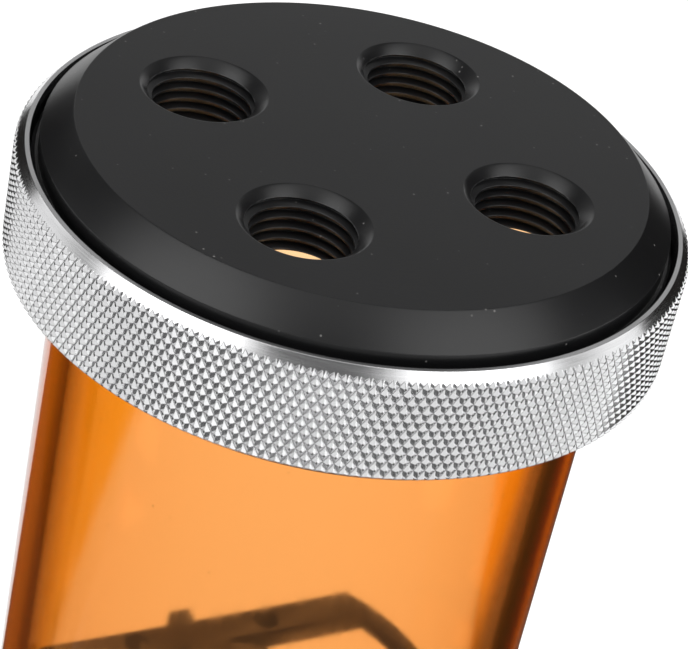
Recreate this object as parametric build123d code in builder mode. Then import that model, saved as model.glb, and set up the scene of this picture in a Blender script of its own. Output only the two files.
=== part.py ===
"""Coolant pump reservoir: an amber tube clamped by two knurled collars between a ported cap and a pump block.

Lengths are millimetres. +Z is up and the origin is at the middle of the face that the reservoir stands on.
The heights are stacked from that face up, and the radii are measured from the common axis.
"""
import os
from math import cos, radians, sin

from build123d import *

os.makedirs("parts", exist_ok=True)

# Reservoir tube
tube_outer_diameter = 63.5
tube_wall = 3.175
tube_length = 120.0

# Cap
cap_web_thickness = 7.5
cap_chamfer_width = 3.25
neck_wall = 3.52
port_count = 4
port_circle_diameter = 38.56
port_first_angle = 45.0

# Pipe ports, tapped G 1/4
port_bore_radius = 5.9
port_mouth_radius = 7.19
mouth_angle = 90.0
port_depth = 14.0

# Threaded skirt around each end of the tube, measured from the tube's end face
skirt_wall = 4.25
skirt_reach_length = 5.0
neck_length = 2.0
thread_lead_width = 0.4
seal_chamfer_width = 1.0

# Knurled collar
collar_wall = 1.61
collar_overhang_length = 3.44
collar_lip_width = 0.5
collar_bevel_height = 1.4
collar_flange_thickness = 2.0
collar_edge_width = 0.8

# Compression seal and slip ring
seal_section_diameter = 2.5
slip_ring_thickness = 0.6

# Baffle that breaks the swirl over the pump's inlet
baffle_height = 66.7
baffle_thickness = 3.0
baffle_flat_distance = 16.4
baffle_band_width = 4.5
baffle_rim_width = 1.5
baffle_hub_radius = 11.5
baffle_eye_radius = 5.0
baffle_web_width = 6.0
baffle_hole_radius = 1.75
baffle_hole_spacing = 19.0
blade_width = 44.0
blade_foot_radius = 11.0
blade_hole_radius = 5.5
blade_hole_rows = 3
blade_tab_width = 8.0
blade_tab_spacing = 30.0

# Pump block
block_width = 90.0
block_corner_radius = 10.0
block_edge_width = 1.5
port_land_height = 11.0
port_floor_gap = 1.1
web_thickness = 6.0
collar_gap = 1.0
inlet_radius = 8.0
inlet_rounding_radius = 2.5
inlet_collar_wall = 2.0
mount_spacing_width = 75.0
mount_hole_radius = 1.65
mount_hole_depth = 10.0

# Volute
chamber_height = 14.0
volute_start_radius = 19.0
volute_growth_width = 2.0
channel_radius = 5.0

# Port plug
plug_head_radius = 9.0
plug_head_thickness = 3.4
plug_reach_length = 8.0
plug_key_width = 6.0
plug_key_depth = 4.0
plug_seal_section_diameter = 1.5
plug_sink_depth = 0.2

# Pump flange and its clamp
flange_radius = 36.0
flange_thickness = 6.0
spigot_length = 3.0
spigot_wall = 2.0
pump_seal_radius = 32.0
pump_seal_section_diameter = 2.4
clamp_thickness = 4.0
clamp_overlap_width = 2.5
clamp_lug_radius = 5.0
clamp_screw_gap = 2.5
clamp_screw_count = 4
screw_radius = 1.5
screw_head_radius = 2.75
screw_head_height = 3.0
screw_head_sink_depth = 2.0
screw_bite_depth = 5.0
screw_key_width = 2.5

# Motor
can_radius = 31.0
can_wall = 1.2
can_length = 30.0
dome_radius = 18.0
dome_wall = 0.6
dome_rim_radius = 24.0
dome_rim_thickness = 0.8
rotor_gap = 0.8
ball_radius = 2.5
ball_drop_height = 4.0
pin_radius = 2.0
rotor_bore_radius = 3.4
stator_height = 16.0
stator_drop_height = 10.0
yoke_width = 4.5
tooth_count = 6
tooth_width = 6.0
tooth_inner_radius = 9.0
coil_build_thickness = 2.0
coil_inner_radius = 17.0
coil_length = 6.5

# Impeller
impeller_radius = 17.0
backplate_thickness = 2.0
shroud_thickness = 1.2
vane_height = 6.4
vane_count = 6
vane_thickness = 1.4
vane_inner_radius = 6.5
vane_sweep = 62.0
vane_bow = 24.0
hub_radius = 5.0
hub_height = 4.0

# Rear cover, control board and speed dial
foot_height = 3.0
foot_width = 7.0
cover_floor = 3.0
cover_wall = 2.0
cover_overlap = 6.0
bay_height = 10.0
post_height = 6.0
post_radius = 2.5
post_circle_radius = 21.0
post_count = 3
board_radius = 27.0
board_thickness = 1.6
trimmer_width = 8.0
trimmer_height = 2.4
capacitor_radius = 4.0
capacitor_height = 7.0
capacitor_place = (12.0, 8.0)
driver_width = 9.0
driver_height = 2.0
driver_place = (-12.0, -6.0)
dial_radius = 6.0
dial_thickness = 2.0
dial_shaft_radius = 1.6
dial_slot_width = 1.2
dial_slot_depth = 0.8
guard_wall = 1.5
gland_radius = 5.5
gland_length = 9.5
gland_bore_radius = 2.6
gland_wall = 1.5
gland_hex_width = 13.0
gland_hex_length = 4.0

# Clearances
fit_clearance = 0.15
seal_clearance = 0.3
thread_clearance = 0.34
running_clearance = 0.05
turning_gap = 0.4

# Heights, from the standing face up
can_bottom = foot_height + cover_floor + bay_height
block_bottom = can_bottom + can_length
flange_top = block_bottom + flange_thickness
chamber_top = flange_top + chamber_height
sump_floor = chamber_top + web_thickness
side_port_height = sump_floor + port_bore_radius + port_floor_gap
block_top = side_port_height + port_land_height
tube_seat = block_top + collar_overhang_length + collar_gap
tube_middle = tube_seat + tube_length / 2
tube_top = tube_seat + tube_length
cap_top = tube_top + cap_web_thickness
outlet_height = flange_top + chamber_height / 2
baffle_top = sump_floor + baffle_height

# Radii that follow from the sizes above
tube_radius = tube_outer_diameter / 2
tube_bore_radius = tube_radius - tube_wall
recess_radius = tube_radius + fit_clearance
neck_radius = recess_radius + neck_wall
skirt_radius = recess_radius + skirt_wall
collar_bore_radius = skirt_radius + thread_clearance
collar_radius = collar_bore_radius + collar_wall
clamp_ring_radius = flange_radius + clamp_overlap_width
clamp_circle_radius = flange_radius + clamp_screw_gap + screw_radius
can_bore_radius = can_radius - can_wall
dome_bore_radius = dome_radius - dome_wall
rotor_radius = dome_bore_radius - rotor_gap
cover_radius = can_radius + fit_clearance + cover_wall

mirror_plane = Plane.XY.offset(tube_middle)


def add_turned(points):
    """Revolve a closed outline of (radius, height) points about the axis."""
    with BuildSketch(Plane.XZ) as outline:
        with BuildLine():
            Polyline(*points, close=True)
        make_face()
    revolve(outline.sketch, axis=Axis.Z)


def add_ring(outer, inner, bottom, height, mode=Mode.ADD):
    """Add or cut a plain ring that stands on the height `bottom`."""
    with BuildSketch(Plane.XY.offset(bottom)) as plan:
        Circle(outer)
        Circle(inner, mode=Mode.SUBTRACT)
    extrude(plan.sketch, amount=height, mode=mode)


def add_disc(radius, bottom, height, mode=Mode.ADD):
    """Add or cut a plain disc that stands on the height `bottom`."""
    with BuildSketch(Plane.XY.offset(bottom)) as plan:
        Circle(radius)
    extrude(plan.sketch, amount=height, mode=mode)


def add_threaded_boss(seat, outward, root):
    """Add the boss that takes one end of the tube.

    `seat` is the height of the tube's end face, `outward` is +1 above the tube and -1 below it, and
    `root` is how far the boss reaches beyond that face. The neck, the thread band, the chamfer that
    the seal is pressed into and the tube's recess follow one another.
    """
    tip = seat - outward * skirt_reach_length
    add_turned(
        [
            (0, seat + outward * root),
            (neck_radius, seat + outward * root),
            (neck_radius, seat + outward * neck_length),
            (skirt_radius, seat + outward * (neck_length - thread_lead_width)),
            (skirt_radius, tip + outward * thread_lead_width),
            (skirt_radius - thread_lead_width, tip),
            (recess_radius + seal_chamfer_width, tip),
            (recess_radius, tip + outward * seal_chamfer_width),
            (recess_radius, seat),
            (0, seat),
        ]
    )


def add_torus(radius, height, section):
    """Add a round seal of diameter `section` whose middle runs at `radius` and `height`."""
    with BuildSketch(Plane.XZ) as outline:
        with Locations((radius, height)):
            Circle(section / 2)
    revolve(outline.sketch, axis=Axis.Z)


def add_half_ball(radius, top, mode=Mode.ADD):
    """Add or cut the lower half of a ball whose middle is at the height `top`."""
    with BuildSketch(Plane.XZ) as outline:
        with BuildLine():
            Line((0, top), (0, top - radius))
            CenterArc((0, top), radius, -90, 90)
            Line((radius, top), (0, top))
        make_face()
    revolve(outline.sketch, axis=Axis.Z, mode=mode)


def finish_part(builder, name):
    """Label a finished piece and write it out."""
    builder.part.label = name
    export_step(builder.part, f"parts/{name}.step")


# Cap: a chamfered disc with four pipe ports, over a skirt that carries the collar's thread
with BuildPart() as top_cap:
    add_threaded_boss(tube_top, 1, cap_web_thickness)
    chamfer(top_cap.faces().sort_by(Axis.Z)[-1].edges(), length=cap_chamfer_width)
    with Locations((0, 0, cap_top)):
        with PolarLocations(port_circle_diameter / 2, port_count, start_angle=port_first_angle):
            CounterSinkHole(port_bore_radius, port_mouth_radius, counter_sink_angle=mouth_angle)
finish_part(top_cap, "top_cap")

# Tube
with BuildPart() as reservoir_tube:
    add_ring(tube_radius, tube_bore_radius, tube_seat, tube_length)
finish_part(reservoir_tube, "reservoir_tube")

# Each collar bears on a slip ring, which presses the seal into the skirt's chamfer
seal_radius = tube_radius + seal_clearance + seal_section_diameter / 2
seal_height = tube_top - skirt_reach_length - fit_clearance - seal_section_diameter / 2
slip_ring_bottom = seal_height - seal_section_diameter / 2 - slip_ring_thickness
collar_lip_height = tube_top + collar_overhang_length
collar_bottom = slip_ring_bottom - collar_flange_thickness
flange_bore_radius = tube_radius + turning_gap

with BuildPart() as top_seal:
    add_torus(seal_radius, seal_height, seal_section_diameter)
finish_part(top_seal, "top_seal")

with BuildPart() as top_slip_ring:
    add_ring(
        collar_bore_radius - turning_gap,
        tube_radius + seal_clearance,
        slip_ring_bottom,
        slip_ring_thickness,
    )
finish_part(top_slip_ring, "top_slip_ring")

with BuildPart() as top_collar:
    add_turned(
        [
            (collar_bore_radius, collar_lip_height),
            (collar_bore_radius + collar_lip_width, collar_lip_height),
            (collar_radius, collar_lip_height - collar_bevel_height),
            (collar_radius, collar_bottom + collar_edge_width),
            (collar_radius - collar_edge_width, collar_bottom),
            (flange_bore_radius, collar_bottom),
            (flange_bore_radius, slip_ring_bottom),
            (collar_bore_radius, slip_ring_bottom),
        ]
    )
finish_part(top_collar, "top_collar")

# The lower end of the tube is clamped the same way, upside down
for piece, name in (
    (top_seal, "bottom_seal"),
    (top_slip_ring, "bottom_slip_ring"),
    (top_collar, "bottom_collar"),
):
    with BuildPart() as lower_piece:
        mirror(piece.part, about=mirror_plane)
    finish_part(lower_piece, name)

# Baffle: a windowed plate on two notched blades that cross over the pump's inlet
plate_radius = tube_bore_radius - seal_clearance
plate_bottom = baffle_top - baffle_thickness
slot_width = baffle_thickness + 2 * fit_clearance
blade_height = baffle_height - baffle_thickness

with BuildPart() as baffle_plate:
    with BuildSketch(Plane.XY.offset(plate_bottom)):
        Circle(plate_radius)
        Rectangle(2 * plate_radius, 2 * baffle_flat_distance, mode=Mode.INTERSECT)
    extrude(amount=baffle_thickness)
    with BuildSketch(Plane.XY.offset(plate_bottom)):
        Circle(plate_radius - baffle_rim_width)
        Rectangle(2 * plate_radius, 2 * (baffle_flat_distance - baffle_band_width), mode=Mode.INTERSECT)
        Circle(baffle_hub_radius, mode=Mode.SUBTRACT)
        Rectangle(2 * plate_radius, baffle_web_width, mode=Mode.SUBTRACT)
        Rectangle(baffle_web_width, 2 * plate_radius, mode=Mode.SUBTRACT)
        Circle(baffle_eye_radius)
        with GridLocations(baffle_hole_spacing, 2 * baffle_flat_distance - baffle_band_width, 2, 2):
            Circle(baffle_hole_radius)
    extrude(amount=baffle_thickness, mode=Mode.SUBTRACT)
    with BuildSketch(Plane.XY.offset(plate_bottom)):
        with GridLocations(blade_tab_spacing, 0, 2, 1):
            Rectangle(blade_tab_width + 2 * fit_clearance, slot_width)
    extrude(amount=baffle_thickness, mode=Mode.SUBTRACT)
finish_part(baffle_plate, "baffle_plate")


def add_blade(plane, notch_bottom, notch_top, tabs):
    """Add one upright blade: arched at its foot, pierced, notched at the middle, with or without tabs."""
    with BuildSketch(plane) as outline:
        with Locations((0, sump_floor + blade_height / 2)):
            Rectangle(blade_width, blade_height)
        if tabs:
            with Locations((0, plate_bottom + baffle_thickness / 2)):
                with GridLocations(blade_tab_spacing, 0, 2, 1):
                    Rectangle(blade_tab_width, baffle_thickness)
        with Locations((0, sump_floor)):
            Circle(blade_foot_radius, mode=Mode.SUBTRACT)
        with Locations((0, sump_floor + blade_height / 2)):
            with GridLocations(blade_width / 2, blade_height / blade_hole_rows, 2, blade_hole_rows):
                Circle(blade_hole_radius, mode=Mode.SUBTRACT)
        with Locations((0, (notch_bottom + notch_top) / 2)):
            Rectangle(slot_width, notch_top - notch_bottom, mode=Mode.SUBTRACT)
    extrude(outline.sketch, amount=baffle_thickness / 2, both=True)


blade_middle = sump_floor + (blade_height + blade_foot_radius) / 2

with BuildPart() as baffle_blade:
    add_blade(Plane.XZ, blade_middle, plate_bottom, True)
finish_part(baffle_blade, "baffle_blade")

with BuildPart() as baffle_cross_blade:
    add_blade(Plane.YZ, sump_floor, blade_middle, False)
finish_part(baffle_cross_blade, "baffle_cross_blade")


def quarter_turns(start_radius, growth):
    """Return centre, radius and start angle of the four quarter arcs of a volute that grows as it turns."""
    arcs = []
    centre = Vector(growth / 2, -growth / 2)
    for quarter in range(4):
        radius = start_radius + growth * (quarter + 0.5)
        angle = 180.0 + 90.0 * quarter
        arcs.append((centre, radius, angle))
        junction = radians(angle + 90.0)
        centre = centre - Vector(cos(junction), sin(junction)) * growth
    return arcs


def add_pipe_port(plane, sink):
    """Cut a tapped pipe port with a countersunk mouth, `sink` below the face that `plane` lies on."""
    with BuildSketch(plane) as bore:
        Circle(port_bore_radius)
    extrude(bore.sketch, amount=-port_depth - sink, mode=Mode.SUBTRACT)
    with BuildSketch(plane.offset(-sink)) as mouth:
        Circle(port_mouth_radius)
    extrude(mouth.sketch, amount=-mouth_depth, taper=mouth_angle / 2, mode=Mode.SUBTRACT)


# Pump block: tube boss and sump above, volute and flange recess below, one port on each of two sides
mouth_depth = port_mouth_radius - port_bore_radius
block_height = block_top - block_bottom
volute_end_radius = volute_start_radius + 4 * volute_growth_width
outlet_offset = volute_end_radius - channel_radius
front_face = Plane(
    origin=(-outlet_offset, -block_width / 2, outlet_height),
    x_dir=(1, 0, 0),
    z_dir=(0, -1, 0),
)
left_face = Plane(origin=(-block_width / 2, 0, side_port_height), x_dir=(0, -1, 0), z_dir=(-1, 0, 0))
spot_depth = plug_sink_depth + plug_head_thickness
inlet_collar_bottom = (
    flange_top + rotor_gap + backplate_thickness + vane_height + shroud_thickness + 2 * turning_gap
)

with BuildPart() as pump_block:
    with BuildSketch(Plane.XY.offset(block_bottom)):
        RectangleRounded(block_width, block_width, block_corner_radius)
    extrude(amount=block_height)
    chamfer(pump_block.faces().sort_by(Axis.Z)[-1].edges(), length=block_edge_width)
    chamfer(pump_block.faces().sort_by(Axis.Z)[0].edges(), length=block_edge_width)
    add_threaded_boss(tube_seat, -1, tube_seat - block_top + block_edge_width)
    add_disc(tube_bore_radius, sump_floor, tube_seat - sump_floor, Mode.SUBTRACT)
    add_disc(inlet_radius, chamber_top, web_thickness, Mode.SUBTRACT)
    inlet_lip = pump_block.edges().filter_by(GeomType.CIRCLE).filter_by(
        lambda edge: abs(edge.radius - inlet_radius) < fit_clearance
        and abs(edge.center().Z - sump_floor) < fit_clearance
    )
    fillet(inlet_lip, radius=inlet_rounding_radius)
    add_disc(flange_radius + fit_clearance, block_bottom, flange_thickness, Mode.SUBTRACT)
    with BuildSketch(Plane.XY.offset(flange_top)):
        with BuildLine():
            for centre, radius, angle in quarter_turns(volute_start_radius, volute_growth_width):
                CenterArc(centre, radius, angle, 90.0)
            Line(
                (-volute_end_radius, -volute_growth_width / 2),
                (-volute_start_radius, -volute_growth_width / 2),
            )
        make_face()
    extrude(amount=chamber_height, mode=Mode.SUBTRACT)
    add_ring(
        inlet_radius + inlet_collar_wall,
        inlet_radius,
        inlet_collar_bottom,
        chamber_top - inlet_collar_bottom,
    )
    add_pipe_port(front_face, 0)
    with BuildSketch(front_face):
        Circle(channel_radius)
    extrude(amount=-block_width / 2, mode=Mode.SUBTRACT)
    with BuildSketch(left_face):
        Circle(plug_head_radius + turning_gap)
    extrude(amount=-spot_depth, mode=Mode.SUBTRACT)
    with BuildSketch(left_face):
        Circle(port_bore_radius)
    extrude(amount=-block_width / 2, mode=Mode.SUBTRACT)
    with BuildSketch(Plane.XY.offset(block_bottom)):
        with GridLocations(mount_spacing_width, mount_spacing_width, 2, 2):
            Circle(mount_hole_radius)
    extrude(amount=mount_hole_depth, mode=Mode.SUBTRACT)
    with BuildSketch(Plane.XY.offset(block_bottom)):
        with PolarLocations(clamp_circle_radius, clamp_screw_count, start_angle=port_first_angle):
            Circle(screw_radius)
    extrude(amount=screw_bite_depth, mode=Mode.SUBTRACT)
finish_part(pump_block, "pump_block")

# Plug in the spare port, flush with the block's left face
plug_seal_radius = port_bore_radius + turning_gap + plug_seal_section_diameter / 2
plug_face = left_face.offset(-plug_sink_depth)
head_back = plug_face.offset(-plug_head_thickness)
plug_shank_radius = port_bore_radius - turning_gap

with BuildPart() as port_plug:
    with BuildSketch(plug_face):
        Circle(plug_head_radius)
    extrude(amount=-plug_head_thickness + fit_clearance)
    with BuildSketch(plug_face):
        Circle(plug_shank_radius)
    extrude(amount=-plug_head_thickness - plug_reach_length)
    with BuildSketch(head_back):
        Circle(plug_seal_radius + plug_seal_section_diameter / 2 + fit_clearance)
        Circle(plug_seal_radius - plug_seal_section_diameter / 2 - fit_clearance, mode=Mode.SUBTRACT)
    extrude(amount=plug_seal_section_diameter, mode=Mode.SUBTRACT)
    with BuildSketch(plug_face):
        RegularPolygon(plug_key_width / 2, 6, major_radius=False)
    extrude(amount=-plug_key_depth, mode=Mode.SUBTRACT)
finish_part(port_plug, "port_plug")

with BuildPart() as port_plug_seal:
    with BuildSketch(Plane(origin=head_back.origin, x_dir=(1, 0, 0), z_dir=(0, 0, 1))):
        with Locations((-plug_seal_section_diameter / 2, plug_seal_radius)):
            Circle(plug_seal_section_diameter / 2)
    revolve(axis=Axis(head_back.origin, (1, 0, 0)))
finish_part(port_plug_seal, "port_plug_seal")

# Pump flange: closes the volute, carries the separation dome and centres the can
with BuildPart() as pump_flange:
    add_disc(flange_radius, block_bottom, flange_thickness)
    add_ring(
        can_bore_radius - fit_clearance,
        can_bore_radius - fit_clearance - spigot_wall,
        block_bottom - spigot_length,
        spigot_length,
    )
    add_disc(dome_radius + fit_clearance, block_bottom, flange_thickness, Mode.SUBTRACT)
    add_disc(
        dome_rim_radius + fit_clearance,
        flange_top - dome_rim_thickness,
        dome_rim_thickness,
        Mode.SUBTRACT,
    )
    add_ring(
        pump_seal_radius + pump_seal_section_diameter / 2 + fit_clearance,
        pump_seal_radius - pump_seal_section_diameter / 2 - fit_clearance,
        flange_top - pump_seal_section_diameter,
        pump_seal_section_diameter,
        Mode.SUBTRACT,
    )
finish_part(pump_flange, "pump_flange")

with BuildPart() as pump_seal:
    add_torus(pump_seal_radius, flange_top - pump_seal_section_diameter / 2, pump_seal_section_diameter)
finish_part(pump_seal, "pump_seal")

# Separation dome: a thin cup that keeps the coolant out of the stator
with BuildPart() as separation_dome:
    add_half_ball(dome_radius, flange_top)
    add_disc(dome_rim_radius, flange_top - dome_rim_thickness, dome_rim_thickness)
    add_half_ball(dome_bore_radius, flange_top, Mode.SUBTRACT)
finish_part(separation_dome, "separation_dome")

# Bearing: a ceramic ball on a post that stands in the dome
ball_height = flange_top - ball_drop_height

with BuildPart() as bearing_pin:
    add_disc(pin_radius, flange_top - dome_bore_radius, dome_bore_radius - ball_drop_height)
    add_half_ball(dome_bore_radius, flange_top, Mode.INTERSECT)
    with Locations((0, 0, ball_height)):
        Sphere(ball_radius, mode=Mode.SUBTRACT)
finish_part(bearing_pin, "bearing_pin")

with BuildPart() as bearing_ball:
    with Locations((0, 0, ball_height)):
        Sphere(ball_radius)
finish_part(bearing_ball, "bearing_ball")

# Rotor: a half-round magnet that hangs on the ball, under the impeller
backplate_bottom = flange_top + rotor_gap
vane_bottom = backplate_bottom + backplate_thickness
shroud_bottom = vane_bottom + vane_height
vane_outer_radius = impeller_radius - running_clearance

with BuildPart() as rotor_magnet:
    add_half_ball(rotor_radius, flange_top)
    add_disc(rotor_radius, flange_top, rotor_gap)
    add_disc(rotor_bore_radius, flange_top - dome_radius, dome_radius - ball_drop_height, Mode.SUBTRACT)
    with Locations((0, 0, ball_height)):
        Sphere(ball_radius + running_clearance, mode=Mode.SUBTRACT)
finish_part(rotor_magnet, "rotor_magnet")


def vane_point(radius, angle, thickness=0.0):
    """Return the point at `radius` and `angle`, in degrees, moved on by a vane's thickness."""
    turned = radians(angle) + thickness / radius
    return Vector(radius * cos(turned), radius * sin(turned))


with BuildPart() as impeller:
    add_disc(impeller_radius, backplate_bottom, backplate_thickness)
    with BuildSketch(Plane.XY.offset(vane_bottom)):
        Circle(hub_radius)
    extrude(amount=hub_height, taper=30)
    for vane in range(vane_count):
        turn = 360.0 / vane_count * vane
        root = (vane_inner_radius, turn)
        middle = ((vane_inner_radius + vane_outer_radius) / 2, turn - vane_bow)
        tip = (vane_outer_radius, turn - vane_sweep)
        with BuildSketch(Plane.XY.offset(vane_bottom)):
            with BuildLine():
                ThreePointArc(vane_point(*root), vane_point(*middle), vane_point(*tip))
                Line(vane_point(*tip), vane_point(*tip, vane_thickness))
                ThreePointArc(
                    vane_point(*tip, vane_thickness),
                    vane_point(*middle, vane_thickness),
                    vane_point(*root, vane_thickness),
                )
                Line(vane_point(*root, vane_thickness), vane_point(*root))
            make_face()
        extrude(amount=vane_height)
    add_ring(impeller_radius, inlet_radius, shroud_bottom, shroud_thickness)
finish_part(impeller, "impeller")

# Stator: a yoke with teeth that follow the dome, and one coil on each tooth
stator_bottom = flange_top - stator_drop_height - stator_height
stator_middle = stator_bottom + stator_height / 2
yoke_radius = can_bore_radius - running_clearance
yoke_bore_radius = yoke_radius - yoke_width

with BuildPart() as stator_core:
    add_ring(yoke_radius, yoke_bore_radius, stator_bottom, stator_height)
    with BuildSketch(Plane.XY.offset(stator_bottom)):
        with PolarLocations((tooth_inner_radius + yoke_radius - yoke_width / 2) / 2, tooth_count):
            Rectangle(yoke_radius - yoke_width / 2 - tooth_inner_radius, tooth_width)
    extrude(amount=stator_height)
    add_half_ball(dome_radius + fit_clearance, flange_top, Mode.SUBTRACT)
finish_part(stator_core, "stator_core")

with BuildPart() as stator_coils:
    with Locations((0, 0, stator_middle)):
        with PolarLocations(coil_inner_radius + coil_length / 2, tooth_count):
            Box(coil_length, tooth_width + 2 * coil_build_thickness, stator_height + 2 * coil_build_thickness)
    coil_corners = stator_coils.edges().filter_by(lambda edge: abs(edge.length - coil_length) < fit_clearance)
    fillet(coil_corners, radius=coil_build_thickness)
    with Locations((0, 0, stator_middle)):
        with PolarLocations(coil_inner_radius + coil_length / 2, tooth_count):
            Box(coil_length, tooth_width + fit_clearance, stator_height + fit_clearance, mode=Mode.SUBTRACT)
finish_part(stator_coils, "stator_coils")

# Can around the stator
with BuildPart() as motor_can:
    add_ring(can_radius, can_bore_radius, can_bottom, can_length)
finish_part(motor_can, "motor_can")

# Clamp ring and the screws that hold the flange in the block
clamp_bottom = block_bottom - clamp_thickness

with BuildPart() as clamp_ring:
    with BuildSketch(Plane.XY.offset(clamp_bottom)):
        Circle(clamp_ring_radius)
        with PolarLocations(clamp_circle_radius, clamp_screw_count, start_angle=port_first_angle):
            Circle(clamp_lug_radius)
        Circle(can_radius + turning_gap, mode=Mode.SUBTRACT)
        with PolarLocations(clamp_circle_radius, clamp_screw_count, start_angle=port_first_angle):
            Circle(screw_radius + fit_clearance, mode=Mode.SUBTRACT)
    extrude(amount=clamp_thickness)
    with BuildSketch(Plane.XY.offset(clamp_bottom)):
        with PolarLocations(clamp_circle_radius, clamp_screw_count, start_angle=port_first_angle):
            Circle(screw_head_radius + fit_clearance)
    extrude(amount=screw_head_sink_depth, mode=Mode.SUBTRACT)
finish_part(clamp_ring, "clamp_ring")

head_top = clamp_bottom + screw_head_sink_depth

with BuildPart() as clamp_screws:
    with BuildSketch(Plane.XY.offset(head_top)):
        with PolarLocations(clamp_circle_radius, clamp_screw_count, start_angle=port_first_angle):
            Circle(screw_radius - running_clearance)
    extrude(amount=clamp_thickness - screw_head_sink_depth + screw_bite_depth)
    with BuildSketch(Plane.XY.offset(head_top)):
        with PolarLocations(clamp_circle_radius, clamp_screw_count, start_angle=port_first_angle):
            Circle(screw_head_radius)
    extrude(amount=-screw_head_height)
    with BuildSketch(Plane.XY.offset(head_top - screw_head_height)):
        with PolarLocations(clamp_circle_radius, clamp_screw_count, start_angle=port_first_angle):
            RegularPolygon(screw_key_width / 2, 6, major_radius=False)
    extrude(amount=screw_head_height / 2, mode=Mode.SUBTRACT)
finish_part(clamp_screws, "clamp_screws")

# Rear cover: the foot that the reservoir stands on, the board's bay and the guard around the dial
cover_inside = foot_height + cover_floor
board_bottom = cover_inside + post_height
gland_height = cover_inside + bay_height / 2
gland_plane = Plane(origin=(0, cover_radius, gland_height), x_dir=(1, 0, 0), z_dir=(0, 1, 0))
guard_radius = dial_radius + turning_gap

with BuildPart() as rear_cover:
    add_disc(cover_radius, 0, can_bottom + cover_overlap)
    add_disc(can_bore_radius, cover_inside, bay_height + cover_overlap, Mode.SUBTRACT)
    add_disc(can_radius + fit_clearance, can_bottom, cover_overlap, Mode.SUBTRACT)
    add_disc(cover_radius - foot_width, 0, foot_height, Mode.SUBTRACT)
    add_ring(guard_radius + guard_wall, guard_radius, foot_height - dial_thickness, dial_thickness)
    with BuildSketch(Plane.XY.offset(cover_inside)):
        with PolarLocations(post_circle_radius, post_count):
            Circle(post_radius)
    extrude(amount=post_height)
    add_disc(dial_shaft_radius + running_clearance, foot_height, cover_floor, Mode.SUBTRACT)
    with BuildSketch(gland_plane):
        Circle(gland_bore_radius + gland_wall)
    extrude(amount=-2 * cover_wall - can_wall, mode=Mode.SUBTRACT)
    fillet(rear_cover.faces().sort_by(Axis.Z)[0].outer_wire().edges(), radius=cover_wall / 2)
finish_part(rear_cover, "rear_cover")

# Cable gland at the back of the rear cover
with BuildPart() as cable_gland:
    with BuildSketch(gland_plane):
        RegularPolygon(gland_hex_width / 2, 6, major_radius=False)
    extrude(amount=gland_hex_length)
    with BuildSketch(gland_plane):
        Circle(gland_radius)
    extrude(amount=gland_length)
    fillet(
        cable_gland.faces().sort_by(Axis.Y)[-1].edges(),
        radius=gland_radius - gland_bore_radius - fit_clearance,
    )
    with BuildSketch(gland_plane):
        Circle(gland_bore_radius + gland_wall - fit_clearance)
    extrude(amount=-cover_wall)
    with BuildSketch(gland_plane.offset(-cover_wall)):
        Circle(gland_bore_radius)
    extrude(amount=cover_wall + gland_length, mode=Mode.SUBTRACT)
finish_part(cable_gland, "cable_gland")

# Control board with the trimmer that the dial turns
with BuildPart() as control_board:
    add_disc(board_radius, board_bottom, board_thickness)
    with Locations((0, 0, board_bottom - trimmer_height / 2)):
        Box(trimmer_width, trimmer_width, trimmer_height)
    with BuildSketch(Plane.XY.offset(board_bottom + board_thickness)):
        with Locations(capacitor_place):
            Circle(capacitor_radius)
    extrude(amount=capacitor_height)
    with BuildSketch(Plane.XY.offset(board_bottom + board_thickness)):
        with Locations(driver_place):
            Rectangle(driver_width, driver_width)
    extrude(amount=driver_height)
finish_part(control_board, "control_board")

# Speed dial, turned with a screwdriver from below
dial_top = foot_height - fit_clearance
shaft_top = board_bottom - trimmer_height - fit_clearance

with BuildPart() as speed_dial:
    add_disc(dial_radius, dial_top - dial_thickness, dial_thickness)
    add_disc(dial_shaft_radius, dial_top, shaft_top - dial_top)
    with BuildSketch(Plane.XY.offset(dial_top - dial_thickness)):
        Rectangle(2 * dial_radius, dial_slot_width)
    extrude(amount=dial_slot_depth, mode=Mode.SUBTRACT)
finish_part(speed_dial, "speed_dial")
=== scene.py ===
"""Looks of the coolant pump reservoir: an amber tube between a ported cap and a pump block.

A piece's sizes are in millimetres and are turned into metres where its mesh is made. Heights are
measured from the standing face, and radii from the axis that the tube, the collars and the pump
share. The studio's sizes are in metres. A Span is the low and the high end of a ramp, with the
results there where they aren't 0 and 1.
"""

import logging
import math
from dataclasses import dataclass
from enum import Enum
from typing import Callable, Dict, Optional, Sequence, Tuple

import bmesh
import bpy
from mathutils import Matrix, Vector


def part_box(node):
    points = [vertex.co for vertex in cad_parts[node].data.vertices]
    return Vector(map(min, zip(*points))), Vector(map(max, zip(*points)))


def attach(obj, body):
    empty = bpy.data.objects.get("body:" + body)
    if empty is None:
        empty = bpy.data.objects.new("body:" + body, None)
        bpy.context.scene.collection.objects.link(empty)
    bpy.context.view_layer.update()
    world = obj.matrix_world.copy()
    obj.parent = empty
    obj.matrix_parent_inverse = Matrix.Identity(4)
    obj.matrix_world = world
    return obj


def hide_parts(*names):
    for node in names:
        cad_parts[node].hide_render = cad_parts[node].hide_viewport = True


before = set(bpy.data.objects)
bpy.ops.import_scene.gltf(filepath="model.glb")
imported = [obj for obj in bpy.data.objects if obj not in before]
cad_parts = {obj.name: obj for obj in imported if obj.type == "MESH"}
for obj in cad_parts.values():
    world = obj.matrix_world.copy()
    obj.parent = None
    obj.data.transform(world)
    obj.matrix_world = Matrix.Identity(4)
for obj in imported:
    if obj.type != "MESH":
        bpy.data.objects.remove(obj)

MM = 0.001
MERGE = 1e-6
FULL_TURN = 2.0 * math.pi
RIGHT_ANGLE = math.pi / 2.0

Point = Tuple[float, float]
Place = Tuple[float, float, float]
Colour = Tuple[float, float, float]
Span = Tuple[float, ...]

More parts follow.
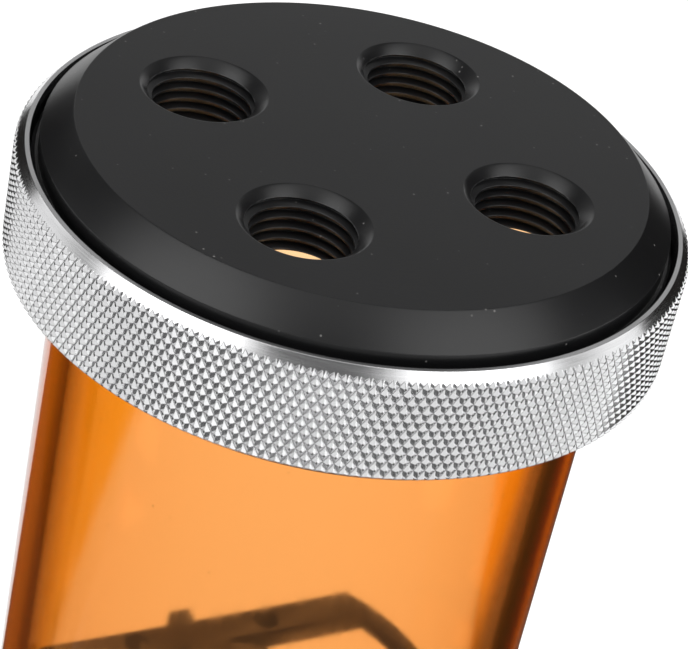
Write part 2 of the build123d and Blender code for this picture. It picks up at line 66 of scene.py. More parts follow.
ORIGIN: Place = (0.0, 0.0, 0.0)
UPWARDS: Place = (0.0, 0.0, 1.0)
WHITE: Colour = (1.0, 1.0, 1.0)
BUMP_DEPTH = 0.02 * MM
CORNERS = ((1, 1), (-1, 1), (-1, -1), (1, -1))

log = logging.getLogger("reservoir")


class Cut(Enum):
    """How one closed mesh changes another."""

    REMOVE = "DIFFERENCE"
    JOIN = "UNION"


class Axis(Enum):
    """Turn, in radians about x, y and z, that lays an upright piece along an axis."""

    UP = ORIGIN
    DOWN = (math.pi, 0.0, 0.0)
    FRONT = (RIGHT_ANGLE, 0.0, 0.0)
    LEFT = (0.0, -RIGHT_ANGLE, 0.0)


def deselect_all() -> None:
    """Leave edit mode and clear the selection of objects."""
    if bpy.context.object and bpy.context.object.mode != "OBJECT":
        bpy.ops.object.mode_set(mode="OBJECT")
    bpy.ops.object.select_all(action="DESELECT")


def make_active(piece: bpy.types.Object) -> None:
    """Make one piece the only one selected.

    Args:
        piece: The object to work on.
    """
    deselect_all()
    piece.select_set(True)
    bpy.context.view_layer.objects.active = piece


def name_new(name: str) -> bpy.types.Object:
    """Name the primitive that was just added.

    Args:
        name: Name of the piece.

    Returns:
        The new object.
    """
    piece = bpy.context.object
    piece.name = name
    piece.data.name = name
    return piece


def start_edit(piece: bpy.types.Object) -> None:
    """Open a piece in edit mode with everything selected.

    Args:
        piece: The object.
    """
    make_active(piece)
    bpy.ops.object.mode_set(mode="EDIT")
    bpy.ops.mesh.select_mode(type="VERT")
    bpy.ops.mesh.select_all(action="SELECT")


def end_edit() -> None:
    """Close edit mode."""
    bpy.ops.object.mode_set(mode="OBJECT")


def pick_edges(piece: bpy.types.Object, test: Callable[[bmesh.types.BMEdge], bool]) -> None:
    """Select the edges that pass a test, in edit mode.

    Args:
        piece: Object that is open in edit mode.
        test: Takes an edge and says whether it is wanted.
    """
    bpy.ops.mesh.select_mode(type="EDGE")
    bpy.ops.mesh.select_all(action="DESELECT")
    shape = bmesh.from_edit_mesh(piece.data)
    for edge in [edge for edge in shape.edges if test(edge)]:
        edge.select_set(True)
    shape.select_flush_mode()
    bmesh.update_edit_mesh(piece.data)


def settle_place(piece: bpy.types.Object) -> None:
    """Put a piece's place, turn and scale into its mesh."""
    make_active(piece)
    bpy.ops.object.transform_apply(location=True, rotation=True, scale=True)


def place(piece: bpy.types.Object, centre: Place, axis: Axis = Axis.UP) -> bpy.types.Object:
    """Turn a piece that stands upright at the origin and move it to its place.

    Args:
        piece: The object, made upright at the origin.
        centre: Where its origin goes, in millimetres.
        axis: Direction that its top turns to.

    Returns:
        The same object.
    """
    piece.rotation_euler = axis.value
    piece.location = [value * MM for value in centre]
    settle_place(piece)
    return piece


def add_object(name: str, data: bpy.types.ID) -> bpy.types.Object:
    """Put a mesh, a lamp or a camera into the scene.

    Args:
        name: Name of the object.
        data: What the object shows.

    Returns:
        The object, tied to no parent.
    """
    item = bpy.data.objects.new(name, data)
    bpy.context.scene.collection.objects.link(item)
    return item


def copy_of(piece: bpy.types.Object, name: str) -> bpy.types.Object:
    """Copy a piece with a mesh of its own.

    Args:
        piece: The object to copy.
        name: Name of the copy.

    Returns:
        The copy.
    """
    twin = add_object(name, piece.data.copy())
    twin.data.name = name
    return twin


def smooth(piece: bpy.types.Object, degrees: float) -> None:
    """Shade a piece smooth but for edges sharper than an angle."""
    make_active(piece)
    bpy.ops.object.shade_smooth_by_angle(angle=math.radians(degrees))


def clean(piece: bpy.types.Object, distance: float = MERGE) -> None:
    """Merge a mesh's doubles and turn its faces outwards.

    Args:
        piece: The object.
        distance: Corners nearer than this become one, in metres.
    """
    start_edit(piece)
    bpy.ops.mesh.remove_doubles(threshold=distance)
    bpy.ops.mesh.normals_make_consistent(inside=False)
    end_edit()


def modify(piece: bpy.types.Object, kind: str, **settings: object) -> None:
    """Change a piece by a modifier and apply it.

    Args:
        piece: The object.
        kind: Blender's name of the modifier type.
        settings: Values of the modifier's own options.
    """
    make_active(piece)
    bpy.ops.object.modifier_add(type=kind)
    change = piece.modifiers[-1]
    for option, value in settings.items():
        setattr(change, option, value)
    bpy.ops.object.modifier_apply(modifier=change.name)


def discard(piece: bpy.types.Object) -> None:
    """Delete a helper piece."""
    deselect_all()
    bpy.data.objects.remove(piece, do_unlink=True)


def carve(piece: bpy.types.Object, tool: bpy.types.Object, cut: Cut = Cut.REMOVE) -> None:
    """Change a closed piece by another closed piece, which is used up.

    Args:
        piece: The object that is changed.
        tool: The object that cuts or joins it.
        cut: What the tool does.
    """
    modify(piece, "BOOLEAN", operation=cut.value, solver="EXACT", object=tool)
    discard(tool)


def start_corner(name: str, radius: float, height: float) -> bpy.types.Object:
    """Start an outline with one corner, and leave it open in edit mode.

    Args:
        name: Name of the piece.
        radius: Distance of the corner from the axis, in millimetres.
        height: Height of the corner.

    Returns:
        The new object.
    """
    deselect_all()
    bpy.ops.mesh.primitive_plane_add(size=MM, location=ORIGIN)
    piece = name_new(name)
    start_edit(piece)
    bpy.ops.mesh.merge(type="CENTER")
    bpy.ops.transform.translate(value=(radius * MM, 0.0, height * MM))
    return piece


def extrude_by(x: float, y: float, z: float) -> None:
    """Extrude what is selected by a step, in millimetres."""
    bpy.ops.mesh.extrude_region_move(TRANSFORM_OT_translate={"value": (x * MM, y * MM, z * MM)})


def lathe(name: str, outline: Sequence[Point], steps: int) -> bpy.types.Object:
    """Turn an outline about the axis.

    Args:
        name: Name of the piece.
        outline: Radius and height of each corner, in millimetres, from end to end.
        steps: Faces around.

    Returns:
        A closed piece of revolution.
    """
    piece = start_corner(name, *outline[0])
    for start, end in zip(outline, outline[1:]):
        extrude_by(end[0] - start[0], 0.0, end[1] - start[1])
    bpy.ops.mesh.select_all(action="SELECT")
    bpy.ops.mesh.spin(steps=steps, angle=FULL_TURN, center=ORIGIN, axis=UPWARDS)
    end_edit()
    clean(piece)
    return piece


def slice_off(piece: bpy.types.Object, point: Place, normal: Place, fill: bool) -> None:
    """Cut a mesh at a plane and drop what lies beyond it.

    Args:
        piece: The object.
        point: A point on the plane, in millimetres.
        normal: Direction of the side that goes.
        fill: Whether the cut is closed by a face.
    """
    start_edit(piece)
    bpy.ops.mesh.bisect(
        plane_co=[value * MM for value in point],
        plane_no=normal,
        use_fill=fill,
        clear_outer=True,
        clear_inner=False,
        threshold=MERGE,
    )
    end_edit()


def hex_key(name: str, width: float, depth: float, height: float) -> bpy.types.Object:
    """Make an upright six-sided bar that cuts a key's socket.

    Args:
        name: Name of the bar.
        width: Width across its flats, in millimetres.
        depth: How far it goes up and down from its middle.
        height: Height of its middle.

    Returns:
        The bar.
    """
    deselect_all()
    radius = width / 2.0 / math.cos(math.pi / 6.0)
    bpy.ops.mesh.primitive_cylinder_add(
        vertices=6, radius=radius * MM, depth=2.0 * depth * MM, location=(0.0, 0.0, height * MM)
    )
    key = name_new(name)
    settle_place(key)
    return key


@dataclass(frozen=True)
class Thread:
    """A round screw thread.

    Attributes:
        crest_radius: Radius over the thread, in millimetres.
        root_radius: Radius at the foot of the thread.
        pitch: Height of one turn.
        flank_share: Share of the pitch that both sloping flanks take.
        steps: Faces around.
    """

    crest_radius: float
    root_radius: float
    pitch: float
    flank_share: float = 0.66
    steps: int = 72

    def rod(self, name: str, bottom: float, top: float) -> bpy.types.Object:
        """Make a closed threaded rod on the axis.

        Args:
            name: Name of the rod.
            bottom: Height of its lower end.
            top: Height of its upper end.

        Returns:
            The rod.
        """
        flat = self.pitch * (1.0 - self.flank_share) / 2.0
        flank = self.pitch * self.flank_share / 2.0
        rise = self.crest_radius - self.root_radius
        # Three turns more than the rod's length, so that both ends are cut through a full thread.
        turns = math.ceil((top - bottom) / self.pitch) + 3
        rod = start_corner(name, self.root_radius, bottom - 1.5 * self.pitch)
        for out, up in ((0.0, flat), (rise, flank), (0.0, flat), (-rise, flank)):
            extrude_by(out, 0.0, up)
        end_edit()
        modify(
            rod,
            "SCREW",
            axis="Z",
            angle=FULL_TURN,
            screw_offset=self.pitch * MM,
            iterations=turns,
            steps=self.steps,
            render_steps=self.steps,
        )
        clean(rod)
        slice_off(rod, (0.0, 0.0, bottom), (0.0, 0.0, -1.0), fill=True)
        slice_off(rod, (0.0, 0.0, top), (0.0, 0.0, 1.0), fill=True)
        clean(rod)
        return rod

    def die(self, name: str, bottom: float, top: float, outer_radius: float) -> bpy.types.Object:
        """Make a ring that cuts this thread into a plain boss.

        Args:
            name: Name of the ring.
            bottom: Height of its lower face.
            top: Height of its upper face.
            outer_radius: Radius outside the boss.

        Returns:
            The ring.
        """
        outline = [(0.0, bottom), (outer_radius, bottom), (outer_radius, top), (0.0, top)]
        ring = lathe(name, outline, self.steps)
        carve(ring, self.rod(name + "_core", bottom - self.pitch, top + self.pitch))
        return ring


PIPE_THREAD = Thread(crest_radius=6.55, root_radius=5.72, pitch=1.337)
SKIRT_THREAD = Thread(crest_radius=36.15, root_radius=35.25, pitch=2.0, steps=160)
MOUNT_THREAD = Thread(crest_radius=2.0, root_radius=1.62, pitch=0.7, steps=32)
PLUG_THREAD = Thread(crest_radius=5.5, root_radius=4.9, pitch=1.337)
CLAMP_THREAD = Thread(crest_radius=1.5, root_radius=1.2, pitch=0.5, steps=24)


class Wiring:
    """Nodes and links of one material, world or node group."""

    def __init__(self, tree: bpy.types.NodeTree) -> None:
        """Keep the node tree that is wired.

        Args:
            tree: The node tree.
        """
        self.tree = tree

    def add(self, kind: str, **settings: object) -> bpy.types.Node:
        """Add a node.

        Args:
            kind: Blender's name of the node type.
            settings: Values of the node's own options.

        Returns:
            The node.
        """
        node = self.tree.nodes.new(kind)
        for option, value in settings.items():
            setattr(node, option, value)
        return node

    def link(self, source: bpy.types.NodeSocket, target: bpy.types.NodeSocket) -> None:
        """Link an output to an input."""
        self.tree.links.new(source, target)

    def feed(self, target: bpy.types.NodeSocket, value: object) -> None:
        """Link a socket to an input, or set the input to a plain value."""
        if isinstance(value, bpy.types.NodeSocket):
            self.link(value, target)
        else:
            target.default_value = value

    def calc(self, operation: str, *values: object, clamp: bool = False) -> bpy.types.NodeSocket:
        """Do one step of arithmetic.

        Args:
            operation: Name of the operation.
            values: Sockets or numbers.
            clamp: Whether the result stays between 0 and 1.

        Returns:
            The result's socket.
        """
        node = self.add("ShaderNodeMath", operation=operation, use_clamp=clamp)
        for socket, value in zip(node.inputs, values):
            self.feed(socket, value)
        return node.outputs[0]

    def product(self, *values: object) -> bpy.types.NodeSocket:
        """Multiply sockets and numbers together.

        Args:
            values: What is multiplied.

        Returns:
            The product's socket.
        """
        result = values[0]
        for value in values[1:]:
            result = self.calc("MULTIPLY", result, value)
        return result

    def ramp(
        self, value: object, low: float, high: float, start: float = 0.0, end: float = 1.0
    ) -> bpy.types.NodeSocket:
        """Map a range of a value smoothly onto another.

        Args:
            value: The socket that is read.
            low: Value that gives the start.
            high: Value that gives the end.
            start: Result at low.
            end: Result at high.

        Returns:
            The result's socket.
        """
        node = self.add("ShaderNodeMapRange", interpolation_type="SMOOTHSTEP")
        self.feed(node.inputs["Value"], value)
        node.inputs["From Min"].default_value = low
        node.inputs["From Max"].default_value = high
        node.inputs["To Min"].default_value = start
        node.inputs["To Max"].default_value = end
        return node.outputs["Result"]

    def along(self, where: bpy.types.NodeSocket, direction: object) -> bpy.types.NodeSocket:
        """Measure a vector along a direction.

        Args:
            where: The vector.
            direction: The direction, or its socket.

        Returns:
            A value's socket.
        """
        node = self.add("ShaderNodeVectorMath", operation="DOT_PRODUCT")
        self.link(where, node.inputs[0])
        self.feed(node.inputs[1], direction)
        return node.outputs["Value"]

    def blend(self, share: object, first: object, second: object, mode: str = "MIX") -> bpy.types.NodeSocket:
        """Mix two colours.

        Args:
            share: How much of the second colour shows.
            first: Colour or socket.
            second: Colour or socket.
            mode: How they are combined.

        Returns:
            The mixed colour's socket.
        """
        node = self.add("ShaderNodeMix", data_type="RGBA", blend_type=mode)
        self.feed(node.inputs["Factor"], share)
        self.feed(node.inputs["A"], opaque(first))
        self.feed(node.inputs["B"], opaque(second))
        return [socket for socket in node.outputs if socket.type == "RGBA"][0]

    def grey(self, value: bpy.types.NodeSocket) -> bpy.types.NodeSocket:
        """Make a grey of a value's brightness.

        Args:
            value: The value's socket.

        Returns:
            The colour's socket.
        """
        node = self.add("ShaderNodeCombineColor")
        for socket in node.inputs[:3]:
            self.link(value, socket)
        return node.outputs[0]

    def object_place(self) -> bpy.types.NodeSocket:
        """Read the Object coordinates of the point that is shaded."""
        return self.add("ShaderNodeTexCoord").outputs["Object"]

    def bump(
        self, height: bpy.types.NodeSocket, strength: float, normal: Optional[bpy.types.NodeSocket] = None
    ) -> bpy.types.NodeSocket:
        """Raise a surface's shading by a height.

        Args:
            height: The height's socket.
            strength: Strength of the relief.
            normal: Socket of the normal that it starts from, where that isn't the plain one.

        Returns:
            The new normal's socket.
        """
        node = self.add("ShaderNodeBump")
        node.inputs["Strength"].default_value = strength
        node.inputs["Distance"].default_value = BUMP_DEPTH
        self.link(height, node.inputs["Height"])
        if normal:
            self.link(normal, node.inputs["Normal"])
        return node.outputs["Normal"]

    def noise(
        self, where: bpy.types.NodeSocket, per_metre: object, detail: float = 2.0
    ) -> bpy.types.NodeSocket:
        """Read a cloudy noise.

        Args:
            where: Coordinates.
            per_metre: How many clouds there are in a metre, or its socket.
            detail: Number of finer layers.

        Returns:
            A value's socket.
        """
        node = self.add("ShaderNodeTexNoise", noise_dimensions="3D")
        self.link(where, node.inputs["Vector"])
        self.feed(node.inputs["Scale"], per_metre)
        node.inputs["Detail"].default_value = detail
        return node.outputs["Fac"]

    def stretched(self, where: bpy.types.NodeSocket, scale: Place) -> bpy.types.NodeSocket:
        """Scale coordinates differently along each axis.

        Args:
            where: Coordinates.
            scale: Factor along x, y and z.

        Returns:
            The new coordinates' socket.
        """
        node = self.add("ShaderNodeMapping")
        self.link(where, node.inputs["Vector"])
        node.inputs["Scale"].default_value = scale
        return node.outputs["Vector"]


def opaque(value: object) -> object:
    """Give a plain colour its fourth value, and leave a socket as it is."""
    if isinstance(value, tuple) and len(value) == 3:
        return (*value, 1.0)
    return value


class Effect(Enum):
    """Node groups that several finishes share."""

    SOFT_EDGE = "soft_edge"
    FINE_GRAIN = "fine_grain"
    DUST = "dust_specks"
    TURNED = "turning_marks"


GroupParts = Tuple[bpy.types.NodeTree, Wiring, bpy.types.Node, bpy.types.Node]


class Effects:
    """Builds the shared node groups once and places them in materials."""

    shading_radius: float = 0.12 * MM
    # The edge mask marks rubbed edges, and its paler colour there is also a painted highlight.
    wear_and_highlight_radius: float = 0.25 * MM
    bevel_samples: int = 6
    worn_highlight_edge: Span = (0.99, 0.80)
    wear_and_highlight_patches_per_metre: float = 900.0
    wear_and_highlight_patches: Span = (0.35, 0.62)
    tone_clouds_per_metre: float = 90.0
    speck: Span = (0.11, 0.04)
    dusty_areas_per_metre: float = 260.0
    dusty_areas: Span = (0.52, 0.66)

    def __init__(self) -> None:
        """Build every group."""
        self.groups: Dict[Effect, bpy.types.NodeTree] = {
            Effect.SOFT_EDGE: self.build_soft_edge(),
            Effect.FINE_GRAIN: self.build_fine_grain(),
            Effect.DUST: self.build_dust(),
            Effect.TURNED: self.build_turned(),
        }

    @staticmethod
    def start(effect: Effect, inputs: Dict[str, float], outputs: Dict[str, str]) -> GroupParts:
        """Open a new group.

        Args:
            effect: Which group it is.
            inputs: Name and first value of each number that goes in.
            outputs: Name and socket type of each result.

        Returns:
            The group, its wiring, its input node and its output node.
        """
        tree = bpy.data.node_groups.new(effect.value, "ShaderNodeTree")
        for name, value in inputs.items():
            socket = tree.interface.new_socket(name=name, in_out="INPUT", socket_type="NodeSocketFloat")
            socket.default_value = value
        for name, kind in outputs.items():
            tree.interface.new_socket(name=name, in_out="OUTPUT", socket_type=kind)
        wiring = Wiring(tree)
        return tree, wiring, wiring.add("NodeGroupInput"), wiring.add("NodeGroupOutput")

    def build_soft_edge(self) -> bpy.types.NodeTree:
        """Round sharp edges in the shading, and mask the edges that are rubbed and painted with a highlight.

        Returns:
            The group, with a normal and a wear mask.
        """
        tree, wiring, given, result = self.start(
            Effect.SOFT_EDGE, {"Wear": 0.5}, {"Normal": "NodeSocketVector", "Mask": "NodeSocketFloat"}
        )
        rounded = wiring.add("ShaderNodeBevel", samples=self.bevel_samples)
        rounded.inputs["Radius"].default_value = self.shading_radius
        wide = wiring.add("ShaderNodeBevel", samples=self.bevel_samples)
        wide.inputs["Radius"].default_value = self.wear_and_highlight_radius
        plain = wiring.add("ShaderNodeNewGeometry")
        agree = wiring.along(wide.outputs["Normal"], plain.outputs["Normal"])
        edge = wiring.ramp(agree, *self.worn_highlight_edge)
        clouds = wiring.noise(wiring.object_place(), self.wear_and_highlight_patches_per_metre, 3.0)
        patchy = wiring.ramp(clouds, *self.wear_and_highlight_patches)
        worn_and_highlit = wiring.calc("MULTIPLY", wiring.product(edge, patchy), given.outputs["Wear"], clamp=True)
        wiring.link(rounded.outputs["Normal"], result.inputs["Normal"])
        wiring.link(worn_and_highlit, result.inputs["Mask"])
        return tree

    def build_fine_grain(self) -> bpy.types.NodeTree:
        """Give a surface a fine even grain.

        Returns:
            The group, with a height and a tone around zero.
        """
        tree, wiring, given, result = self.start(
            Effect.FINE_GRAIN,
            {"Per Metre": 4000.0, "Tone": 0.1},
            {"Height": "NodeSocketFloat", "Tone": "NodeSocketFloat"},
        )
        where = wiring.object_place()
        fine = wiring.noise(where, given.outputs["Per Metre"], 3.0)
        broad = wiring.noise(where, self.tone_clouds_per_metre, 3.0)
        both = wiring.calc("ADD", wiring.product(fine, 0.5), wiring.product(broad, 0.5))
        tone = wiring.product(wiring.calc("SUBTRACT", both, 0.5), given.outputs["Tone"])
        wiring.link(fine, result.inputs["Height"])
        wiring.link(tone, result.inputs["Tone"])
        return tree

    def build_dust(self) -> bpy.types.NodeTree:
        """Scatter small pale specks.

        Returns:
            The group, with a mask of the specks.
        """
        tree, wiring, given, result = self.start(
            Effect.DUST, {"Per Metre": 700.0, "Amount": 0.5}, {"Mask": "NodeSocketFloat"}
        )
        where = wiring.object_place()
        cells = wiring.add("ShaderNodeTexVoronoi", feature="F1", voronoi_dimensions="3D")
        wiring.link(where, cells.inputs["Vector"])
        wiring.link(given.outputs["Per Metre"], cells.inputs["Scale"])
        near = wiring.ramp(cells.outputs["Distance"], *self.speck)
        few = wiring.ramp(wiring.noise(where, self.dusty_areas_per_metre, 1.0), *self.dusty_areas)
        speck = wiring.calc("MULTIPLY", wiring.product(near, few), given.outputs["Amount"], clamp=True)
        wiring.link(speck, result.inputs["Mask"])
        return tree

    def build_turned(self) -> bpy.types.NodeTree:
        """Mark a turned piece with fine rings around the axis.

        Returns:
            The group, with the rings' height.
        """
        tree, wiring, given, result = self.start(
            Effect.TURNED, {"Per Metre": 2200.0}, {"Height": "NodeSocketFloat"}
        )
        parts = wiring.add("ShaderNodeSeparateXYZ")
        wiring.link(wiring.object_place(), parts.inputs[0])
        squares = [wiring.calc("POWER", parts.outputs[axis], 2.0) for axis in ("X", "Y")]
        line = wiring.add("ShaderNodeCombineXYZ")
        wiring.link(wiring.calc("SQRT", wiring.calc("ADD", *squares)), line.inputs["X"])
        wiring.link(parts.outputs["Z"], line.inputs["Z"])
        rings = wiring.noise(line.outputs[0], given.outputs["Per Metre"])
        wiring.link(rings, result.inputs["Height"])
        return tree

    def put(self, wiring: Wiring, effect: Effect, **values: float) -> bpy.types.Node:
        """Place a group in a material.

        Args:
            wiring: The material's wiring.
            effect: Which group.
            values: Value of each input, with spaces written as underscores.

        Returns:
            The group's node.
        """
        node = wiring.add("ShaderNodeGroup", node_tree=self.groups[effect])
        for name, value in values.items():
            node.inputs[name.replace("_", " ")].default_value = value
        return node


EFFECTS = Effects()


def turned_bump(
    wiring: Wiring, normal: bpy.types.NodeSocket, strength: float, per_metre: float
) -> bpy.types.NodeSocket:
    """Add turning marks to a normal.

    Args:
        wiring: The material's wiring.
        normal: The normal without them.
        strength: Strength of the marks, or 0 for none.
        per_metre: How many marks there are in a metre.

    Returns:
        The new normal's socket.
    """
    if not strength:
        return normal
    marks = EFFECTS.put(wiring, Effect.TURNED, Per_Metre=per_metre)
    return wiring.bump(marks.outputs["Height"], strength, normal)


def new_material(name: str) -> Tuple[bpy.types.Material, Wiring, bpy.types.Node]:
    """Start a material.

    Args:
        name: Name of the material.

    Returns:
        The material, its wiring and its Principled shader.
    """
    material = bpy.data.materials.new(name)
    material.use_nodes = True
    wiring = Wiring(material.node_tree)
    return material, wiring, material.node_tree.nodes["Principled BSDF"]


@dataclass(frozen=True)
class Plastic:
    """Machined or moulded plastic with soft edges, a fine grain and a few specks of dust.

    Attributes:
        name: Name of the material.
        colour: Colour, linear.
        roughness: Roughness of a clean face.
        grain: Strength of the grain.
        rings: Strength of the turning marks.
        dust: Amount of dust.
        wear_and_highlight: How pale the edges are made, by rubbing and by a painted highlight.
        coat: Weight of a glossy skin.
        grain_per_metre: How many grains there are in a metre.
        grain_tone: How much the grain varies the colour.
        grain_blur: How much it varies the roughness.
        specks_per_metre: How many places for a speck of dust there are in a metre.
        speck_colour: Colour of the dust.
        worn_highlight_lift: Brightness added to a rubbed edge, partly a painted highlight.
        worn_highlight_gain: Factor on the colour of a rubbed edge, partly a painted highlight.
        worn_polish: Change of roughness at a rubbed edge.
        rings_per_metre: How many turning marks there are in a metre.
        refraction: Index of refraction.
        coat_roughness: Roughness of the glossy skin.
    """

    name: str
    colour: Colour
    roughness: float = 0.42
    grain: float = 0.25
    rings: float = 0.0
    dust: float = 0.4
    wear_and_highlight: float = 0.35
    coat: float = 0.0
    grain_per_metre: float = 5200.0
    grain_tone: float = 0.5
    grain_blur: float = 0.35
    specks_per_metre: float = 650.0
    speck_colour: Colour = (0.32, 0.31, 0.30)
    worn_highlight_lift: float = 0.10
    worn_highlight_gain: float = 1.4
    worn_polish: float = -0.08
    rings_per_metre: float = 2600.0
    refraction: float = 1.48
    coat_roughness: float = 0.08

    def material(self) -> bpy.types.Material:
        """Build the material.

        Returns:
            The material.
        """
        material, wiring, shader = new_material(self.name)
        edge = EFFECTS.put(wiring, Effect.SOFT_EDGE, Wear=self.wear_and_highlight)
        grain = EFFECTS.put(
            wiring, Effect.FINE_GRAIN, Per_Metre=self.grain_per_metre, Tone=self.grain_tone
        )
        dust = EFFECTS.put(wiring, Effect.DUST, Per_Metre=self.specks_per_metre, Amount=self.dust)
        # Rubbed edges, partly a painted highlight: the edge mask pales the colour there.
        pale = tuple(min(1.0, self.worn_highlight_lift + value * self.worn_highlight_gain) for value in self.colour)
        lit = wiring.grey(wiring.calc("ADD", 1.0, grain.outputs["Tone"]))
        toned = wiring.blend(1.0, self.colour, lit, "MULTIPLY")
        worn_and_highlit = wiring.blend(edge.outputs["Mask"], toned, pale)
        dusty = wiring.blend(dust.outputs["Mask"], worn_and_highlit, self.speck_colour)
        wiring.link(dusty, shader.inputs["Base Color"])
        blurred = wiring.calc("ADD", self.roughness, wiring.product(grain.outputs["Tone"], self.grain_blur))
        polished = wiring.product(edge.outputs["Mask"], self.worn_polish)
        wiring.link(wiring.calc("ADD", blurred, polished, clamp=True), shader.inputs["Roughness"])
        shader.inputs["IOR"].default_value = self.refraction
        shader.inputs["Coat Weight"].default_value = self.coat
        shader.inputs["Coat Roughness"].default_value = self.coat_roughness
        relief = wiring.bump(grain.outputs["Height"], self.grain, edge.outputs["Normal"])
        relief = turned_bump(wiring, relief, self.rings, self.rings_per_metre)
        wiring.link(relief, shader.inputs["Normal"])
        return material


@dataclass(frozen=True)
class Metal:
    """Bare or plated metal.

    Attributes:
        name: Name of the material.
        colour: Colour, linear.
        roughness: Roughness of a clean face.
        brush: Stretch of the brushing along x, y and z, in marks a metre.
        brushing: Strength of the brushing.
        rings: Strength of the turning marks.
        stain: How much the tone varies.
        wear_and_highlight: How bright the edges are made, by rubbing and by a painted highlight.
        worn_highlight_gain: Factor on the colour of a rubbed edge, partly a painted highlight.
        stains_per_metre: How many stains there are in a metre.
        stains: Noise values between which a stain fades.
        mark_blur: How much the brushing varies the roughness.
        rings_per_metre: How many turning marks there are in a metre.
    """

    name: str
    colour: Colour
    roughness: float = 0.25
    brush: Place = (200.0, 200.0, 9000.0)
    brushing: float = 0.15
    rings: float = 0.0
    stain: float = 0.25
    wear_and_highlight: float = 0.6
    worn_highlight_gain: float = 1.06
    stains_per_metre: float = 120.0
    stains: Span = (0.3, 0.7)
    mark_blur: float = 0.18
    rings_per_metre: float = 3000.0

    def material(self) -> bpy.types.Material:
        """Build the material.

        Returns:
            The material.
        """
        material, wiring, shader = new_material(self.name)
        where = wiring.object_place()
        edge = EFFECTS.put(wiring, Effect.SOFT_EDGE, Wear=self.wear_and_highlight)
        broad = wiring.noise(where, self.stains_per_metre, 3.0)
        marks = wiring.noise(wiring.stretched(where, self.brush), 1.0)
        dark = tuple(value * (1.0 - self.stain) for value in self.colour)
        # Rubbed edges, partly a painted highlight: the edge mask brightens the metal there.
        bright = tuple(min(1.0, value * self.worn_highlight_gain) for value in self.colour)
        toned = wiring.blend(wiring.ramp(broad, *self.stains), dark, self.colour)
        edged = wiring.blend(edge.outputs["Mask"], toned, bright)
        wiring.link(edged, shader.inputs["Base Color"])
        shader.inputs["Metallic"].default_value = 1.0
        spread = wiring.calc("SUBTRACT", marks, 0.5)
        rough = wiring.calc("MULTIPLY_ADD", spread, self.mark_blur, self.roughness, clamp=True)
        wiring.link(rough, shader.inputs["Roughness"])
        relief = wiring.bump(marks, self.brushing, edge.outputs["Normal"])
        relief = turned_bump(wiring, relief, self.rings, self.rings_per_metre)
        wiring.link(relief, shader.inputs["Normal"])
        return material


@dataclass(frozen=True)
class AmberAcrylic:
    """Clear amber acrylic, tinted through its thickness and darker where it is seen edge-on, a painted shade
    for the dark surroundings seen through the wall there.

    Attributes:
        name: Name of the material.
        edge_shade_colour: Painted shade, the tint of the face where the wall is seen edge-on.
        edge_shade_start: Facing value where the painted shade starts.
        edge_shade_end: Facing value where the painted shade is full.
        blur: Roughness of the extruded wall.
        depth_colour: Colour that the wall takes on with depth.
        density: How fast it does, per metre.
        specks_per_metre: How many places for a speck of dust there are in a metre.
        dust: Amount of dust.
        speck_colour: Colour of the dust on the tube.
        draw_marks: Stretch of the extrusion's marks along x, y and z, in marks a metre.
        draw_span: Noise values between which the roughness changes.
        draw_share: Least and most roughness, as shares of the blur.
        draw_relief: Strength of the marks' relief.
        refraction: Index of refraction.
    """

    name: str = "amber_acrylic"
    edge_shade_colour: Colour = (0.76, 0.74, 0.68)
    edge_shade_start: float = 0.64
    edge_shade_end: float = 0.80
    blur: float = 0.06
    depth_colour: Colour = (0.997, 0.69, 0.24)
    density: float = 430.0
    specks_per_metre: float = 420.0
    dust: float = 0.35
    speck_colour: Colour = (0.30, 0.20, 0.10)
    draw_marks: Place = (700.0, 700.0, 6.0)
    draw_span: Span = (0.2, 0.8)
    draw_share: Tuple[float, float] = (0.6, 1.4)
    draw_relief: float = 0.05
    refraction: float = 1.49

    def material(self) -> bpy.types.Material:
        """Build the material.

        Returns:
            The material.
        """
        material, wiring, shader = new_material(self.name)
        dust = EFFECTS.put(wiring, Effect.DUST, Per_Metre=self.specks_per_metre, Amount=self.dust)
        facing = wiring.add("ShaderNodeLayerWeight")
        facing.inputs["Blend"].default_value = 0.5
        # Painted shade: the face darkens towards the tube's edges, where its wall is seen edge-on.
        rim = wiring.ramp(facing.outputs["Facing"], self.edge_shade_start, self.edge_shade_end)
        edge_shaded_tint = wiring.blend(rim, WHITE, self.edge_shade_colour)
        specked = wiring.blend(dust.outputs["Mask"], edge_shaded_tint, self.speck_colour)
        wiring.link(specked, shader.inputs["Base Color"])
        drawn = wiring.noise(wiring.stretched(wiring.object_place(), self.draw_marks), 1.0)
        limits = [self.blur * share for share in self.draw_share]
        wiring.link(wiring.ramp(drawn, *self.draw_span, *limits), shader.inputs["Roughness"])
        shader.inputs["IOR"].default_value = self.refraction
        shader.inputs["Transmission Weight"].default_value = 1.0
        wiring.link(wiring.bump(drawn, self.draw_relief), shader.inputs["Normal"])
        depth = wiring.add("ShaderNodeVolumeAbsorption")
        depth.inputs["Color"].default_value = (*self.depth_colour, 1.0)
        depth.inputs["Density"].default_value = self.density
        wiring.link(depth.outputs[0], material.node_tree.nodes["Material Output"].inputs["Volume"])
        return material


